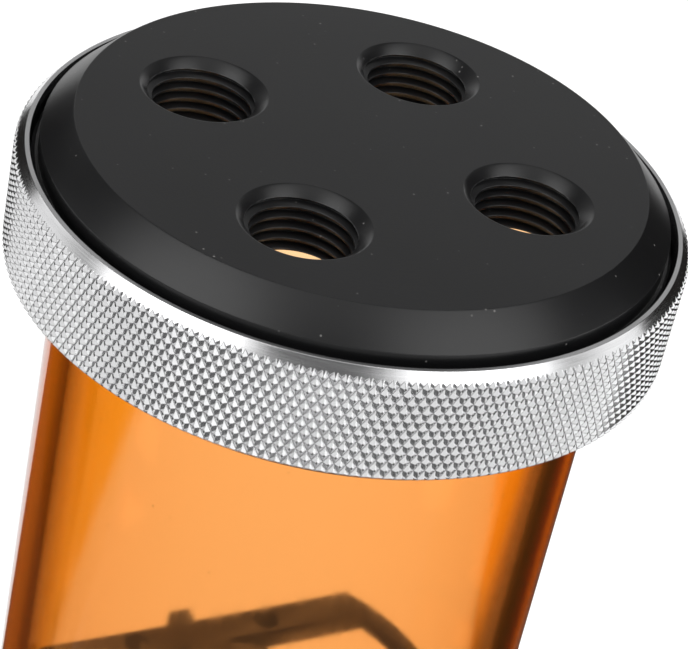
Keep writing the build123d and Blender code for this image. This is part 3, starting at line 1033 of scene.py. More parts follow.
class Finishes:
    """One material for each slot of the record."""

    def __init__(self) -> None:
        """Build the materials."""
        makers = {
            "black_acetal": Plastic("black_acetal", (0.0045, 0.0045, 0.0048), 0.31, 0.30, 0.18, 0.35, 0.5),
            "amber_acrylic": AmberAcrylic(),
            "knurled_aluminium": Metal(
                "knurled_aluminium", (0.92, 0.92, 0.93), 0.19, brushing=0.06, rings=0.15, stain=0.05
            ),
            "seal_rubber": Plastic("seal_rubber", (0.014, 0.014, 0.015), 0.62, 0.4, 0.0, 0.6, 0.1),
            "white_slip": Plastic("white_slip", (0.78, 0.78, 0.75), 0.45, 0.2, 0.0, 0.1, 0.0),
            "black_acrylic": Plastic("black_acrylic", (0.012, 0.010, 0.010), 0.16, 0.05, 0.0, 0.2, 0.2, 0.3),
            "nickel_brass": Metal(
                "nickel_brass", (0.70, 0.68, 0.64), 0.17, brushing=0.05, rings=0.25, stain=0.10
            ),
            "motor_plastic": Plastic("motor_plastic", (0.030, 0.030, 0.032), 0.50, 0.6, 0.0, 0.4, 0.3),
            "stainless": Metal("stainless", (0.60, 0.60, 0.61), 0.30, brushing=0.30, stain=0.12),
            "ceramic": Plastic("ceramic", (0.86, 0.86, 0.83), 0.12, 0.05, 0.0, 0.0, 0.0),
            "magnet": Metal("magnet", (0.14, 0.14, 0.15), 0.38, brushing=0.25, stain=0.3),
            "impeller_plastic": Plastic("impeller_plastic", (0.06, 0.06, 0.065), 0.45, 0.3, 0.0, 0.1, 0.2),
            "core_steel": Metal(
                "core_steel", (0.32, 0.32, 0.33), 0.36, (300.0, 300.0, 20000.0), 0.5, stain=0.3
            ),
            "copper": Metal("copper", (0.72, 0.34, 0.16), 0.28, (300.0, 300.0, 14000.0), 0.6, stain=0.2),
            "screw_steel": Metal("screw_steel", (0.10, 0.10, 0.105), 0.34, brushing=0.1, stain=0.2),
            "gland_plastic": Plastic("gland_plastic", (0.022, 0.022, 0.023), 0.48, 0.4, 0.0, 0.4, 0.3),
            "board": Plastic("board", (0.02, 0.13, 0.05), 0.25, 0.1, 0.0, 0.1, 0.1, 0.4),
            "dial_plastic": Plastic("dial_plastic", (0.60, 0.60, 0.58), 0.42, 0.3, 0.0, 0.2, 0.2),
        }
        self.materials: Dict[str, bpy.types.Material] = {
            slot: maker.material() for slot, maker in makers.items()
        }

    def dress(self, piece: bpy.types.Object, slot: str) -> None:
        """Give a piece its finish.

        Args:
            piece: The object.
            slot: The record's material slot.
        """
        if piece.material_slots:
            for material_slot in piece.material_slots:
                material_slot.material = self.materials[slot]
        else:
            piece.data.materials.append(self.materials[slot])


class Assembly:
    """What every sub-assembly can do with its pieces."""

    coplanar: float = 0.5
    rounded_from: float = 40.0

    def __init__(self, finishes: Finishes) -> None:
        """Keep the finishes."""
        self.finishes = finishes

    def settle(self, piece: bpy.types.Object, body: str, slot: str, nodes: Sequence[str]) -> None:
        """Finish a piece: its body, its slot, its finish and the nodes that it stands for.

        Args:
            piece: The finished object.
            body: CAD body that it moves with.
            slot: The record's material slot.
            nodes: CAD nodes that it replaces.
        """
        piece.data.materials.clear()
        self.finishes.dress(piece, slot)
        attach(piece, body)
        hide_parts(*nodes)
        log.info("%s rides on %s, %d faces", piece.name, body, len(piece.data.polygons))

    def refine(self, node: str, width: float) -> bpy.types.Object:
        """Copy a CAD node, join its faces and round its edges.

        Args:
            node: Name of the CAD node.
            width: Width of the rounding, in millimetres, or 0 for none.

        Returns:
            The copy.
        """
        piece = copy_of(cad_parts[node], node + "_piece")
        start_edit(piece)
        bpy.ops.mesh.remove_doubles(threshold=2.0 * MERGE)
        bpy.ops.mesh.dissolve_limited(angle_limit=math.radians(self.coplanar), delimit=set())
        end_edit()
        if width:
            modify(
                piece,
                "BEVEL",
                width=width * MM,
                segments=2,
                limit_method="ANGLE",
                angle_limit=math.radians(self.rounded_from),
                use_clamp_overlap=True,
                harden_normals=False,
            )
        return piece


MACHINED = 28.0
MOULDED = 35.0


@dataclass
class CapSizes:
    """Sizes of the cap, in millimetres."""

    tube_top: float = 214.44
    top: float = 221.94
    chamfer: float = 3.25
    neck_radius: float = 35.42
    skirt_radius: float = 36.15
    skirt_bottom: float = 209.44
    neck_bottom: float = 216.44
    recess_radius: float = 31.9
    lead: float = 0.4
    port_place: float = 13.633
    mouth_radius: float = 7.19
    mouth_foot_radius: float = 4.19
    mouth_reach: float = 3.0
    mouth_edge: float = 0.12
    recess_lead: float = 1.0
    edge: float = 0.10
    edge_shares: Tuple[float, float] = (0.3, 0.6)
    thread_below: float = 0.6
    thread_above: float = 0.3
    die_radius: float = 38.0
    over: float = 1.0
    steps: int = 192
    port_steps: int = 96


class Cap(Assembly):
    """The black cap with its four tapped ports."""

    def build(self, sizes: CapSizes) -> None:
        """Turn the cap, thread its skirt and tap its ports.

        Args:
            sizes: Sizes of the cap.
        """
        edge = sizes.edge
        low_share, high_share = sizes.edge_shares
        outline = [
            (0.0, sizes.tube_top),
            (sizes.recess_radius, sizes.tube_top),
            (sizes.recess_radius, sizes.skirt_bottom + sizes.recess_lead),
            (sizes.recess_radius + sizes.recess_lead, sizes.skirt_bottom),
            (sizes.skirt_radius - sizes.lead, sizes.skirt_bottom),
            (sizes.skirt_radius, sizes.skirt_bottom + sizes.lead),
            (sizes.skirt_radius, sizes.neck_bottom - sizes.lead),
            (sizes.skirt_radius - sizes.lead, sizes.neck_bottom),
            (sizes.neck_radius, sizes.neck_bottom),
            (sizes.neck_radius, sizes.top - sizes.chamfer - edge),
            (sizes.neck_radius - edge * low_share, sizes.top - sizes.chamfer + edge * low_share),
            (sizes.neck_radius - sizes.chamfer + edge, sizes.top - edge),
            (sizes.neck_radius - sizes.chamfer - edge * high_share, sizes.top),
            (0.0, sizes.top),
        ]
        cap = lathe("cap", outline, sizes.steps)
        low, high = sizes.skirt_bottom - sizes.thread_below, sizes.neck_bottom - sizes.thread_above
        carve(cap, SKIRT_THREAD.die("skirt_die", low, high, sizes.die_radius))
        tap = PIPE_THREAD.rod("tap", sizes.tube_top - sizes.over, sizes.top + sizes.over)
        foot, above = sizes.top - sizes.mouth_reach, sizes.top + 2.0 * sizes.over
        mouth_outline = [
            (0.0, foot),
            (sizes.mouth_foot_radius, foot),
            (sizes.mouth_radius - sizes.mouth_edge, sizes.top - sizes.mouth_edge),
            (sizes.mouth_radius + sizes.mouth_edge, sizes.top),
            (sizes.mouth_radius + sizes.mouth_edge, above),
            (0.0, above),
        ]
        carve(tap, lathe("mouth", mouth_outline, sizes.port_steps), Cut.JOIN)
        for side, depth in CORNERS:
            port = copy_of(tap, "port_tap")
            place(port, (side * sizes.port_place, depth * sizes.port_place, 0.0))
            carve(cap, port)
        discard(tap)
        smooth(cap, MACHINED)
        self.settle(cap, "base", "black_acetal", ["top_cap"])


@dataclass
class CollarSizes:
    """Sizes of a knurled collar, in millimetres."""

    lip_height: float = 217.88
    bottom: float = 204.19
    crest_radius: float = 38.10
    bore_radius: float = 36.49
    flange_bore_radius: float = 32.15
    lip_width: float = 0.5
    bevel_height: float = 1.4
    flange_thickness: float = 2.0
    edge: float = 0.8
    diamonds: int = 200
    diamond_height: float = 2.085
    groove_depth: float = 0.40
    flank_width: float = 0.40
    grid_cells: int = 16
    mirror_height: float = 154.44
    smooth_to: float = 20.0


class Collars(Assembly):
    """The two knurled collars."""

    def column(self, sizes: CollarSizes) -> bpy.types.Object:
        """Make one column of the knurl with the collar's whole section behind it, laid flat.

        Args:
            sizes: Sizes of the collar.

        Returns:
            The column, with x around, y up and z outwards.
        """
        width = FULL_TURN * sizes.crest_radius / sizes.diamonds
        height = sizes.lip_height - sizes.bottom
        cells = sizes.grid_cells
        diagonal = math.sqrt(2.0)
        deselect_all()
        turn = (0.0, 0.0, RIGHT_ANGLE / 2.0)
        bpy.ops.mesh.primitive_grid_add(
            x_subdivisions=cells, y_subdivisions=cells, size=cells * MM, rotation=turn
        )
        column = name_new("knurl_column")
        settle_place(column)
        start_edit(column)
        scale = (width / diagonal, sizes.diamond_height / diagonal, 1.0)
        bpy.ops.transform.resize(value=scale, center_override=ORIGIN)
        bpy.ops.mesh.inset(
            use_individual=True, thickness=sizes.flank_width * MM, depth=sizes.groove_depth * MM
        )
        bpy.ops.mesh.select_all(action="SELECT")
        bpy.ops.transform.translate(value=(0.0, height / 2.0 * MM, -sizes.groove_depth * MM))
        end_edit()
        slice_off(column, (width / 2.0, 0.0, 0.0), (1.0, 0.0, 0.0), fill=False)
        slice_off(column, (-width / 2.0, 0.0, 0.0), (-1.0, 0.0, 0.0), fill=False)
        drop = sizes.crest_radius - sizes.bore_radius - sizes.lip_width
        rise = Vector((0.0, drop, sizes.bevel_height)).normalized()
        fall = Vector((0.0, -1.0, 1.0)).normalized()
        slice_off(column, (0.0, height, -drop), tuple(rise), fill=False)
        slice_off(column, (0.0, 0.0, -sizes.edge), tuple(fall), fill=False)
        self.close_section(column, sizes, height, drop, rise, fall)
        return column

    @staticmethod
    def close_section(
        column: bpy.types.Object,
        sizes: CollarSizes,
        height: float,
        drop: float,
        rise: Vector,
        fall: Vector,
    ) -> None:
        """Extrude the knurl's upper and lower rims around the section until they meet.

        Args:
            column: The sliced column.
            sizes: Sizes of the collar.
            height: Height of the collar.
            drop: How far the lip stands behind the knurl's crest.
            rise: Normal of the upper bevel.
            fall: Normal of the lower chamfer.
        """
        start_edit(column)

        def on_plane(edge: bmesh.types.BMEdge, point: Vector, normal: Vector) -> bool:
            """Say whether an open edge lies in a plane.

            Args:
                edge: The edge.
                point: A point on the plane.
                normal: Normal of the plane.

            Returns:
                True where it does.
            """
            offsets = [abs((corner.co - point).dot(normal)) for corner in edge.verts]
            return edge.is_boundary and max(offsets) < 2.0 * MERGE

        def gather(point: Vector, normal: Vector) -> None:
            """Extrude the rim that lies in a plane and press it to a straight line.

            Args:
                point: A point that the plane and the line go through.
                normal: Normal of the plane.
            """
            pick_edges(column, lambda edge: on_plane(edge, point, normal))
            extrude_by(0.0, 0.0, 0.0)
            bpy.ops.transform.resize(value=(1.0, 0.0, 0.0), center_override=tuple(point))

        gather(Vector((0.0, height * MM, -drop * MM)), rise)
        bore = sizes.crest_radius - sizes.bore_radius
        inner = sizes.crest_radius - sizes.flange_bore_radius
        section = [
            (height, -bore),
            (sizes.flange_thickness, -bore),
            (sizes.flange_thickness, -inner),
            (0.0, -inner),
        ]
        last = (height, -drop)
        for corner in section:
            extrude_by(0.0, corner[0] - last[0], corner[1] - last[1])
            last = corner
        gather(Vector((0.0, 0.0, -sizes.edge * MM)), fall)

        def flat_end(edge: bmesh.types.BMEdge) -> bool:
            """Say whether an edge is one of the two rims left to join.

            Args:
                edge: The edge.

            Returns:
                True where it is.
            """
            level = all(abs(corner.co.y) < MERGE for corner in edge.verts)
            depths = [corner.co.z for corner in edge.verts]
            return edge.is_boundary and level and abs(depths[0] - depths[1]) < MERGE

        pick_edges(column, flat_end)
        bpy.ops.mesh.bridge_edge_loops()
        end_edit()

    def build(self, sizes: CollarSizes) -> None:
        """Repeat the column, bend it to a ring and make both collars from it.

        Args:
            sizes: Sizes of the collar.
        """
        collar = self.column(sizes)
        collar.name = "upper_collar"
        width = FULL_TURN * sizes.crest_radius / sizes.diamonds
        place(collar, ORIGIN, Axis.FRONT)
        modify(
            collar,
            "ARRAY",
            count=sizes.diamonds,
            use_relative_offset=False,
            use_constant_offset=True,
            constant_offset_displace=(width * MM, 0.0, 0.0),
            use_merge_vertices=True,
            merge_threshold=2.0 * MERGE,
        )
        modify(collar, "SIMPLE_DEFORM", deform_method="BEND", deform_axis="Z", angle=FULL_TURN)
        place(collar, (0.0, -sizes.crest_radius, sizes.bottom))
        clean(collar, 4.0 * MERGE)
        lower = copy_of(collar, "lower_collar")
        place(lower, (0.0, 0.0, 2.0 * sizes.mirror_height), Axis.DOWN)
        for piece, end in ((collar, "top"), (lower, "bottom")):
            smooth(piece, sizes.smooth_to)
            self.settle(piece, end + "_collar_ring", "knurled_aluminium", [end + "_collar"])


@dataclass
class TubeSizes:
    """Sizes of the tube, in millimetres."""

    bottom: float = 94.44
    top: float = 214.44
    radius: float = 31.75
    bore_radius: float = 28.575
    edge: float = 0.35
    steps: int = 256
    smooth_to: float = 30.0


class Tube(Assembly):
    """The amber tube."""

    def build(self, sizes: TubeSizes) -> None:
        """Turn the tube with small chamfers at its ends.

        Args:
            sizes: Sizes of the tube.
        """
        outline = [
            (sizes.bore_radius, sizes.bottom + sizes.edge),
            (sizes.bore_radius + sizes.edge, sizes.bottom),
            (sizes.radius - sizes.edge, sizes.bottom),
            (sizes.radius, sizes.bottom + sizes.edge),
            (sizes.radius, sizes.top - sizes.edge),
            (sizes.radius - sizes.edge, sizes.top),
            (sizes.bore_radius + sizes.edge, sizes.top),
            (sizes.bore_radius, sizes.top - sizes.edge),
            (sizes.bore_radius, sizes.bottom + sizes.edge),
        ]
        tube = lathe("tube", outline, sizes.steps)
        smooth(tube, sizes.smooth_to)
        self.settle(tube, "base", "amber_acrylic", ["reservoir_tube"])


class SwirlBreaker(Assembly):
    """The windowed plate and its two blades."""

    edge: float = 0.3

    def build(self) -> None:
        """Round the edges of the plate and the blades."""
        for node in ("baffle_plate", "baffle_blade", "baffle_cross_blade"):
            piece = self.refine(node, self.edge)
            smooth(piece, MOULDED)
            self.settle(piece, "base", "black_acrylic", [node])


@dataclass
class BlockSizes:
    """Sizes of the pump block's tapped holes and boss, in millimetres."""

    outlet: Place = (-22.0, -45.0, 59.0)
    port_depth: float = 14.0
    spare: Place = (-45.0, 0.0, 79.0)
    spare_sink: float = 3.6
    mount_place: float = 37.5
    bottom: float = 46.0
    mount_depth: float = 9.0
    boss_bottom: float = 90.0
    boss_top: float = 99.44
    thread_above: float = 0.4
    thread_over: float = 0.6
    die_radius: float = 38.0
    lead: float = 1.0
    flatness: int = 100


class PumpBlock(Assembly):
    """The acetal block under the tube."""

    def build(self, sizes: BlockSizes) -> None:
        """Thread the block's boss, its outlet and its mounting holes.

        Args:
            sizes: Sizes of the holes and the boss.
        """
        block = self.refine("pump_block", 0.0)
        clean(block)
        for name, centre, axis, sink in (
            ("outlet_tap", sizes.outlet, Axis.FRONT, 0.0),
            ("spare_tap", sizes.spare, Axis.LEFT, sizes.spare_sink),
        ):
            tap = PIPE_THREAD.rod(name, -sizes.port_depth - sink, -sizes.lead - sink)
            carve(block, place(tap, centre, axis))
        for side in (-1, 1):
            for depth in (-1, 1):
                hole = MOUNT_THREAD.rod("mount_tap", -sizes.lead, sizes.mount_depth)
                centre = (side * sizes.mount_place, depth * sizes.mount_place, sizes.bottom)
                carve(block, place(hole, centre))
        low, high = sizes.boss_bottom + sizes.thread_above, sizes.boss_top + sizes.thread_over
        carve(block, SKIRT_THREAD.die("boss_die", low, high, sizes.die_radius))
        smooth(block, MACHINED)
        modify(block, "WEIGHTED_NORMAL", weight=sizes.flatness, keep_sharp=True)
        self.settle(block, "base", "black_acetal", ["pump_block"])


@dataclass
class PlugSizes:
    """Sizes of the port plug, in millimetres, along its axis from the block's face."""

    face: Place = (-45.0, 0.0, 79.0)
    head_radius: float = 9.0
    head_out: float = -0.2
    head_in: float = -3.6
    reach: float = 8.0
    key_width: float = 6.0
    key_depth: float = 4.0
    edge: float = 0.6
    back_edge: float = 0.2
    overlap: float = 0.8
    steps: int = 96


class PortPlug(Assembly):
    """The plug of the spare port."""

    def build(self, sizes: PlugSizes) -> None:
        """Turn the plug's head and shank, thread the shank and cut the key.

        Args:
            sizes: Sizes of the plug.
        """
        outline = [
            (0.0, sizes.head_in),
            (sizes.head_radius - sizes.back_edge, sizes.head_in),
            (sizes.head_radius, sizes.head_in + sizes.back_edge),
            (sizes.head_radius, sizes.head_out - sizes.edge),
            (sizes.head_radius - sizes.edge, sizes.head_out),
            (0.0, sizes.head_out),
        ]
        plug = lathe("plug_head", outline, sizes.steps)
        shank = PLUG_THREAD.rod("plug_shank", sizes.head_in - sizes.reach, sizes.head_in + sizes.overlap)
        carve(plug, shank, Cut.JOIN)
        carve(plug, hex_key("plug_key", sizes.key_width, sizes.key_depth, sizes.head_out))
        plug.name = "plug_body"
        place(plug, sizes.face, Axis.LEFT)
        smooth(plug, MACHINED)
        self.settle(plug, "plug", "nickel_brass", ["port_plug"])


@dataclass
class ScrewSizes:
    """Sizes of a clamp screw, in millimetres."""

    place: float = 28.284
    head_bottom: float = 44.0
    head_top: float = 41.0
    head_radius: float = 2.75
    head_edge: float = 0.3
    overlap: float = 0.6
    key_width: float = 2.5
    key_depth: float = 1.6
    flutes: int = 24
    flute_share: float = 0.955
    flute_margin: float = 0.05
    ring_edge: float = 0.4


class Clamp(Assembly):
    """The clamp ring and its four screws."""

    def build(self, sizes: ScrewSizes) -> None:
        """Round the clamp ring and make its screws.

        Args:
            sizes: Sizes of a screw.
        """
        ring = self.refine("clamp_ring", sizes.ring_edge)
        smooth(ring, MOULDED)
        self.settle(ring, "base", "stainless", ["clamp_ring"])
        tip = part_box("clamp_screws")[1][2] / MM
        outline = [
            (0.0, sizes.head_top),
            (sizes.head_radius - sizes.head_edge, sizes.head_top),
            (sizes.head_radius, sizes.head_top + sizes.head_edge),
            (sizes.head_radius, sizes.head_bottom),
            (0.0, sizes.head_bottom),
        ]
        screw = lathe("screw", outline, sizes.flutes * 2)
        self.flute(screw, sizes)
        carve(screw, CLAMP_THREAD.rod("shank", sizes.head_bottom - sizes.overlap, tip), Cut.JOIN)
        carve(screw, hex_key("screw_key", sizes.key_width, sizes.key_depth, sizes.head_top))
        smooth(screw, MACHINED)
        for number, (side, depth) in enumerate(CORNERS, start=1):
            piece = copy_of(screw, f"clamp_screw_{number}")
            place(piece, (side * sizes.place, depth * sizes.place, 0.0))
            self.settle(piece, "base", "screw_steel", ["clamp_screws"])
        discard(screw)

    @staticmethod
    def flute(screw: bpy.types.Object, sizes: ScrewSizes) -> None:
        """Draw in every other edge of the head, as a straight knurl.

        Args:
            screw: The screw's head.
            sizes: Sizes of a screw.
        """
        start_edit(screw)
        step = FULL_TURN / (sizes.flutes * 2)

        def is_groove(edge: bmesh.types.BMEdge) -> bool:
            """Say whether an edge is an upright one in an odd place.

            Args:
                edge: The edge.

            Returns:
                True where it is.
            """
            first, second = (corner.co for corner in edge.verts)
            upright = math.hypot(first.x - second.x, first.y - second.y) < MERGE
            outer = math.hypot(first.x, first.y) > (sizes.head_radius - sizes.flute_margin) * MM
            return upright and outer and round(math.atan2(first.y, first.x) / step) % 2 == 1

        pick_edges(screw, is_groove)
        share = sizes.flute_share
        bpy.ops.transform.resize(value=(share, share, 1.0), center_override=(0.0, 0.0, sizes.head_top * MM))
        end_edit()


class Motor(Assembly):
    """The motor's can, rear cover, gland and dial."""

    def build(self) -> None:
        """Round the edges of the motor's outer pieces."""
        for node, body, slot, width in (
            ("motor_can", "base", "stainless", 0.3),
            ("rear_cover", "base", "motor_plastic", 0.35),
            ("cable_gland", "base", "gland_plastic", 0.25),
            ("speed_dial", "dial", "dial_plastic", 0.15),
        ):
            piece = self.refine(node, width)
            smooth(piece, MOULDED)
            self.settle(piece, body, slot, [node])


class Insides(Assembly):
    """CAD nodes whose shape is right as it is."""

    def build(self) -> None:
        """Give each of them its finish."""
        slots = {
            "top_seal": "seal_rubber",
            "bottom_seal": "seal_rubber",
            "port_plug_seal": "seal_rubber",
            "pump_seal": "seal_rubber",
            "top_slip_ring": "white_slip",
            "bottom_slip_ring": "white_slip",
            "pump_flange": "motor_plastic",
            "separation_dome": "stainless",
            "bearing_pin": "stainless",
            "bearing_ball": "ceramic",
            "rotor_magnet": "magnet",
            "impeller": "impeller_plastic",
            "stator_core": "core_steel",
            "stator_coils": "copper",
            "control_board": "board",
        }
        for node, slot in slots.items():
            self.finishes.dress(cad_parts[node], slot)
            log.info("%s keeps its CAD shape", node)


@dataclass(frozen=True)
class Card:
    """A card beside the object, seen only in gloss or through glass.

    Attributes:
        name: Name of the card.
        first: Distance behind the object and to its right where the card starts, in metres.
        last: The same where it ends.
        reach: The way from that edge to the opposite one: behind, to the right and up.
        colour: Brightness and colour of the card.
        gloss: Whether gloss shows it.
        glass: Whether it shows through glass.
        fan: Sideways slopes, seen from the object, between which the card fades to its shade, or zeros.
        shade: Brightness and colour that it fades to.
    """

    name: str
    first: Tuple[float, float]
    last: Tuple[float, float]
    reach: Place
    colour: Colour
    gloss: bool = True
    glass: bool = True
    fan: Tuple[float, float] = (0.0, 0.0)
    shade: Colour = (0.0, 0.0, 0.0)

    def stand(self, ahead: Vector, right: Vector) -> None:
        """Put the card in its place, just above the floor.

        Args:
            ahead: Level direction away from the camera.
            right: Level direction to the camera's right.
        """
        deselect_all()
        bpy.ops.mesh.primitive_plane_add(size=1.0, location=ORIGIN)
        card = name_new(self.name)
        start = ahead * self.first[0] + right * self.first[1] + Vector(UPWARDS) * MM
        along = ahead * (self.last[0] - self.first[0]) + right * (self.last[1] - self.first[1])
        up = ahead * self.reach[0] + right * self.reach[1] + Vector(UPWARDS) * self.reach[2]
        turn = Matrix((along, up, along.cross(up).normalized())).transposed().to_4x4()
        card.matrix_world = Matrix.Translation(start + along / 2.0 + up / 2.0) @ turn
        settle_place(card)
        material, wiring, shader = new_material(self.name)
        glow = wiring.add("ShaderNodeEmission")
        glow.inputs["Color"].default_value = (*self.colour, 1.0)
        if self.fan[1]:
            where = wiring.object_place()
            slope = wiring.calc("DIVIDE", wiring.along(where, right), wiring.along(where, ahead))
            tone = wiring.ramp(wiring.calc("ABSOLUTE", slope), *self.fan, 1.0, 0.0)
            faded = wiring.blend(wiring.product(tone, tone), self.shade, self.colour)
            wiring.link(faded, glow.inputs["Color"])
        material.node_tree.nodes.remove(shader)
        wiring.link(glow.outputs[0], material.node_tree.nodes["Material Output"].inputs["Surface"])
        card.data.materials.append(material)
        card.visible_camera = False
        card.visible_diffuse = False
        card.visible_shadow = False
        card.visible_glossy = self.gloss
        card.visible_transmission = self.glass


@dataclass(frozen=True)
class Glow:
    """A bright patch of the room that gloss shows.

    Attributes:
        bearing: Degrees to the right of the way back to the camera.
        rise: Degrees above the level.
        core: Radius of the bright middle, in degrees.
        reach: Radius where the patch ends, in degrees.
        tone: Brightness of the middle.
    """

    bearing: float
    rise: float
    core: float
    reach: float
    tone: float

    def direction(self, ahead: Vector, right: Vector) -> Vector:
        """Say where the patch is.

        Args:
            ahead: Level direction away from the camera.
            right: Level direction to the camera's right.

        Returns:
            A direction of length one.
        """
        turn, lift = math.radians(self.bearing), math.radians(self.rise)
        level = right * math.sin(turn) - ahead * math.cos(turn)
        return level * math.cos(lift) + Vector(UPWARDS) * math.sin(lift)

    def span(self) -> Span:
        """Give the ramp of the patch, over the cosine of the angle to its middle."""
        return math.cos(math.radians(self.reach)), math.cos(math.radians(self.core)), 0.0, self.tone


@dataclass(frozen=True)
class Lamp:
    """A soft box.

    Attributes:
        name: Name of the lamp.
        place: Where it stands, in metres.
        target: Where it points, in metres.
        width: Width and height, in metres.
        power: Power, in watts.
    """

    name: str
    place: Place
    target: Place
    width: float
    power: float

    def light(self) -> None:
        """Add the lamp to the scene."""
        data = bpy.data.lights.new(self.name, "AREA")
        data.shape = "SQUARE"
        data.size = self.width
        data.energy = self.power
        lamp = add_object(self.name, data)
        aim = Vector(self.target) - Vector(self.place)
        lamp.matrix_world = Matrix.Translation(self.place) @ aim.to_track_quat("-Z", "Y").to_matrix().to_4x4()
        lamp.visible_glossy = False
        lamp.visible_transmission = False


class Studio:
    """Floor, world, lamps and camera."""

    camera_place: Place = (-0.12861, -0.20667, 0.35883)
    camera_right: Place = (0.88831, -0.42258, 0.17979)
    camera_down: Place = (-0.10643, -0.57027, -0.81453)
    camera_forward: Place = (0.44674, 0.70442, -0.55156)
    lens: float = 132.14
    sensor: float = 36.0
    nearest: float = 0.01
    farthest: float = 20.0

    floor_size: float = 8.0
    floor_colour: Colour = (0.90, 0.90, 0.90)
    floor_roughness: float = 0.9
    floor_glow: float = 0.72
    floor_left: Span = (-0.95, -0.60, 0.45, 1.0)
    floor_far: Span = (0.3, 0.8)
    dark_ring_inside: Span = (0.13, 0.20)
    dark_ring_outside: Span = (0.9, 0.5)
    dark_ring_in_front: Span = (0.2, -0.3)
    dark_ring_share: float = 0.9

    room_level: float = 0.62
    front_left: Span = (-1.0, -0.5, 0.92, 0.80)
    front_right: Span = (0.2, 0.7, 0.80, 1.10)
    behind_low: Span = (0.25, 0.55)
    overhead: Span = (0.35, 0.70, 0.12, 0.05)
    behind_high: Span = (0.2, 0.7, 0.0, 0.31)
    lowered_behind: Span = (0.15, 0.5, 0.0, 0.12)
    low_to_high: Span = (0.27, 0.47)

    lamps: Tuple[Lamp, ...] = (
        Lamp("key_box", (-0.10, -0.60, 1.00), (0.0, 0.0, 0.19), 0.55, 7.0),
        Lamp("side_box", (0.80, -0.25, 0.55), (0.0, 0.0, 0.19), 0.4, 2.5),
        Lamp("left_box", (-0.80, 0.15, 0.45), (0.0, 0.0, 0.19), 0.35, 2.5),
        Lamp("backdrop_box", (0.40, 0.63, 0.70), (0.16, 0.26, 0.0), 0.4, 6.0),
    )
    dark: Colour = (0.012, 0.011, 0.010)
    cards: Tuple[Card, ...] = (
        Card("right_card", (-0.01, 0.125), (0.24, 0.125), (0.0, 0.0, 0.20), dark, glass=False),
        Card("right_tall_card", (0.025, 0.126), (0.24, 0.126), (0.0, 0.0, 0.31), dark, glass=False),
        Card("left_card", (0.03, -0.200), (0.30, -0.200), (0.0, 0.0, 0.19), dark, glass=False),
        Card("left_tall_card", (0.06, -0.201), (0.30, -0.201), (0.0, 0.0, 0.29), dark, glass=False),
        Card(
            "right_sheet", (0.10, 0.055), (0.45, 0.130), (-0.35, 0.25, 0.0), (0.040, 0.038, 0.034),
            glass=False,
        ),
        Card(
            "left_sheet", (0.115, -0.140), (0.40, -0.331), (-0.35, -0.18, 0.0), (0.025, 0.024, 0.022),
            glass=False,
        ),
        # Painted light and shadow: these cards, seen only through the tube, glow with the amber light that
        # the tube casts on the floor beside it, and fade to the shade of its shadow.
        Card(
            "right_painted_tube_light", (0.05, 0.119), (0.45, 0.053), (0.0, 0.45, 0.0), (1.18, 0.78, 0.05),
            gloss=False, fan=(0.45, 0.80), shade=(0.07, 0.07, 0.03),
        ),
        Card(
            "left_painted_tube_light", (0.05, -0.122), (0.40, -0.020), (0.0, -0.45, 0.0), (1.12, 0.86, 0.05),
            gloss=False, fan=(0.2, 2.0), shade=(0.08, 0.05, 0.01),
        ),
    )
    glows: Tuple[Glow, ...] = (
        Glow(-58.0, 46.0, 8.0, 32.0, 2.5),
        Glow(62.0, 46.0, 8.0, 32.0, 2.2),
        Glow(0.0, 82.0, 14.0, 32.0, 0.75),
    )

    def __init__(self) -> None:
        """Find the level directions away from the camera and to its right."""
        self.ahead = Vector((self.camera_forward[0], self.camera_forward[1], 0.0)).normalized()
        self.right = Vector((self.ahead.y, -self.ahead.x, 0.0))

    def build(self) -> None:
        """Set up everything around the object."""
        self.build_floor()
        self.build_world()
        for lamp in self.lamps:
            lamp.light()
        for card in self.cards:
            card.stand(self.ahead, self.right)
        self.build_camera()
        bpy.context.scene.view_settings.view_transform = "Standard"

    def room_tone(self, wiring: Wiring, where: bpy.types.NodeSocket) -> bpy.types.NodeSocket:
        """Say how bright the room is in a direction, as gloss shows it.

        Args:
            wiring: Wiring of the material or world.
            where: The direction.

        Returns:
            A value's socket.
        """
        side = wiring.along(where, self.right)
        depth = wiring.along(where, self.ahead)
        rise = wiring.along(where, Vector(UPWARDS))
        front = wiring.calc(
            "MAXIMUM", wiring.ramp(side, *self.front_left), wiring.ramp(side, *self.front_right)
        )
        low = wiring.calc("MAXIMUM", front, wiring.ramp(depth, *self.behind_low))
        centre = wiring.ramp(wiring.calc("ABSOLUTE", side), *self.overhead)
        high = wiring.calc("MAXIMUM", centre, wiring.ramp(depth, *self.behind_high))
        lifted = wiring.calc("ADD", rise, wiring.ramp(depth, *self.lowered_behind))
        share = wiring.ramp(lifted, *self.low_to_high)
        below = wiring.product(low, wiring.calc("SUBTRACT", 1.0, share))
        tone = wiring.calc("ADD", below, wiring.product(high, share))
        for glow in self.glows:
            near = wiring.along(where, glow.direction(self.ahead, self.right))
            tone = wiring.calc("MAXIMUM", tone, wiring.ramp(near, *glow.span()))
        return tone

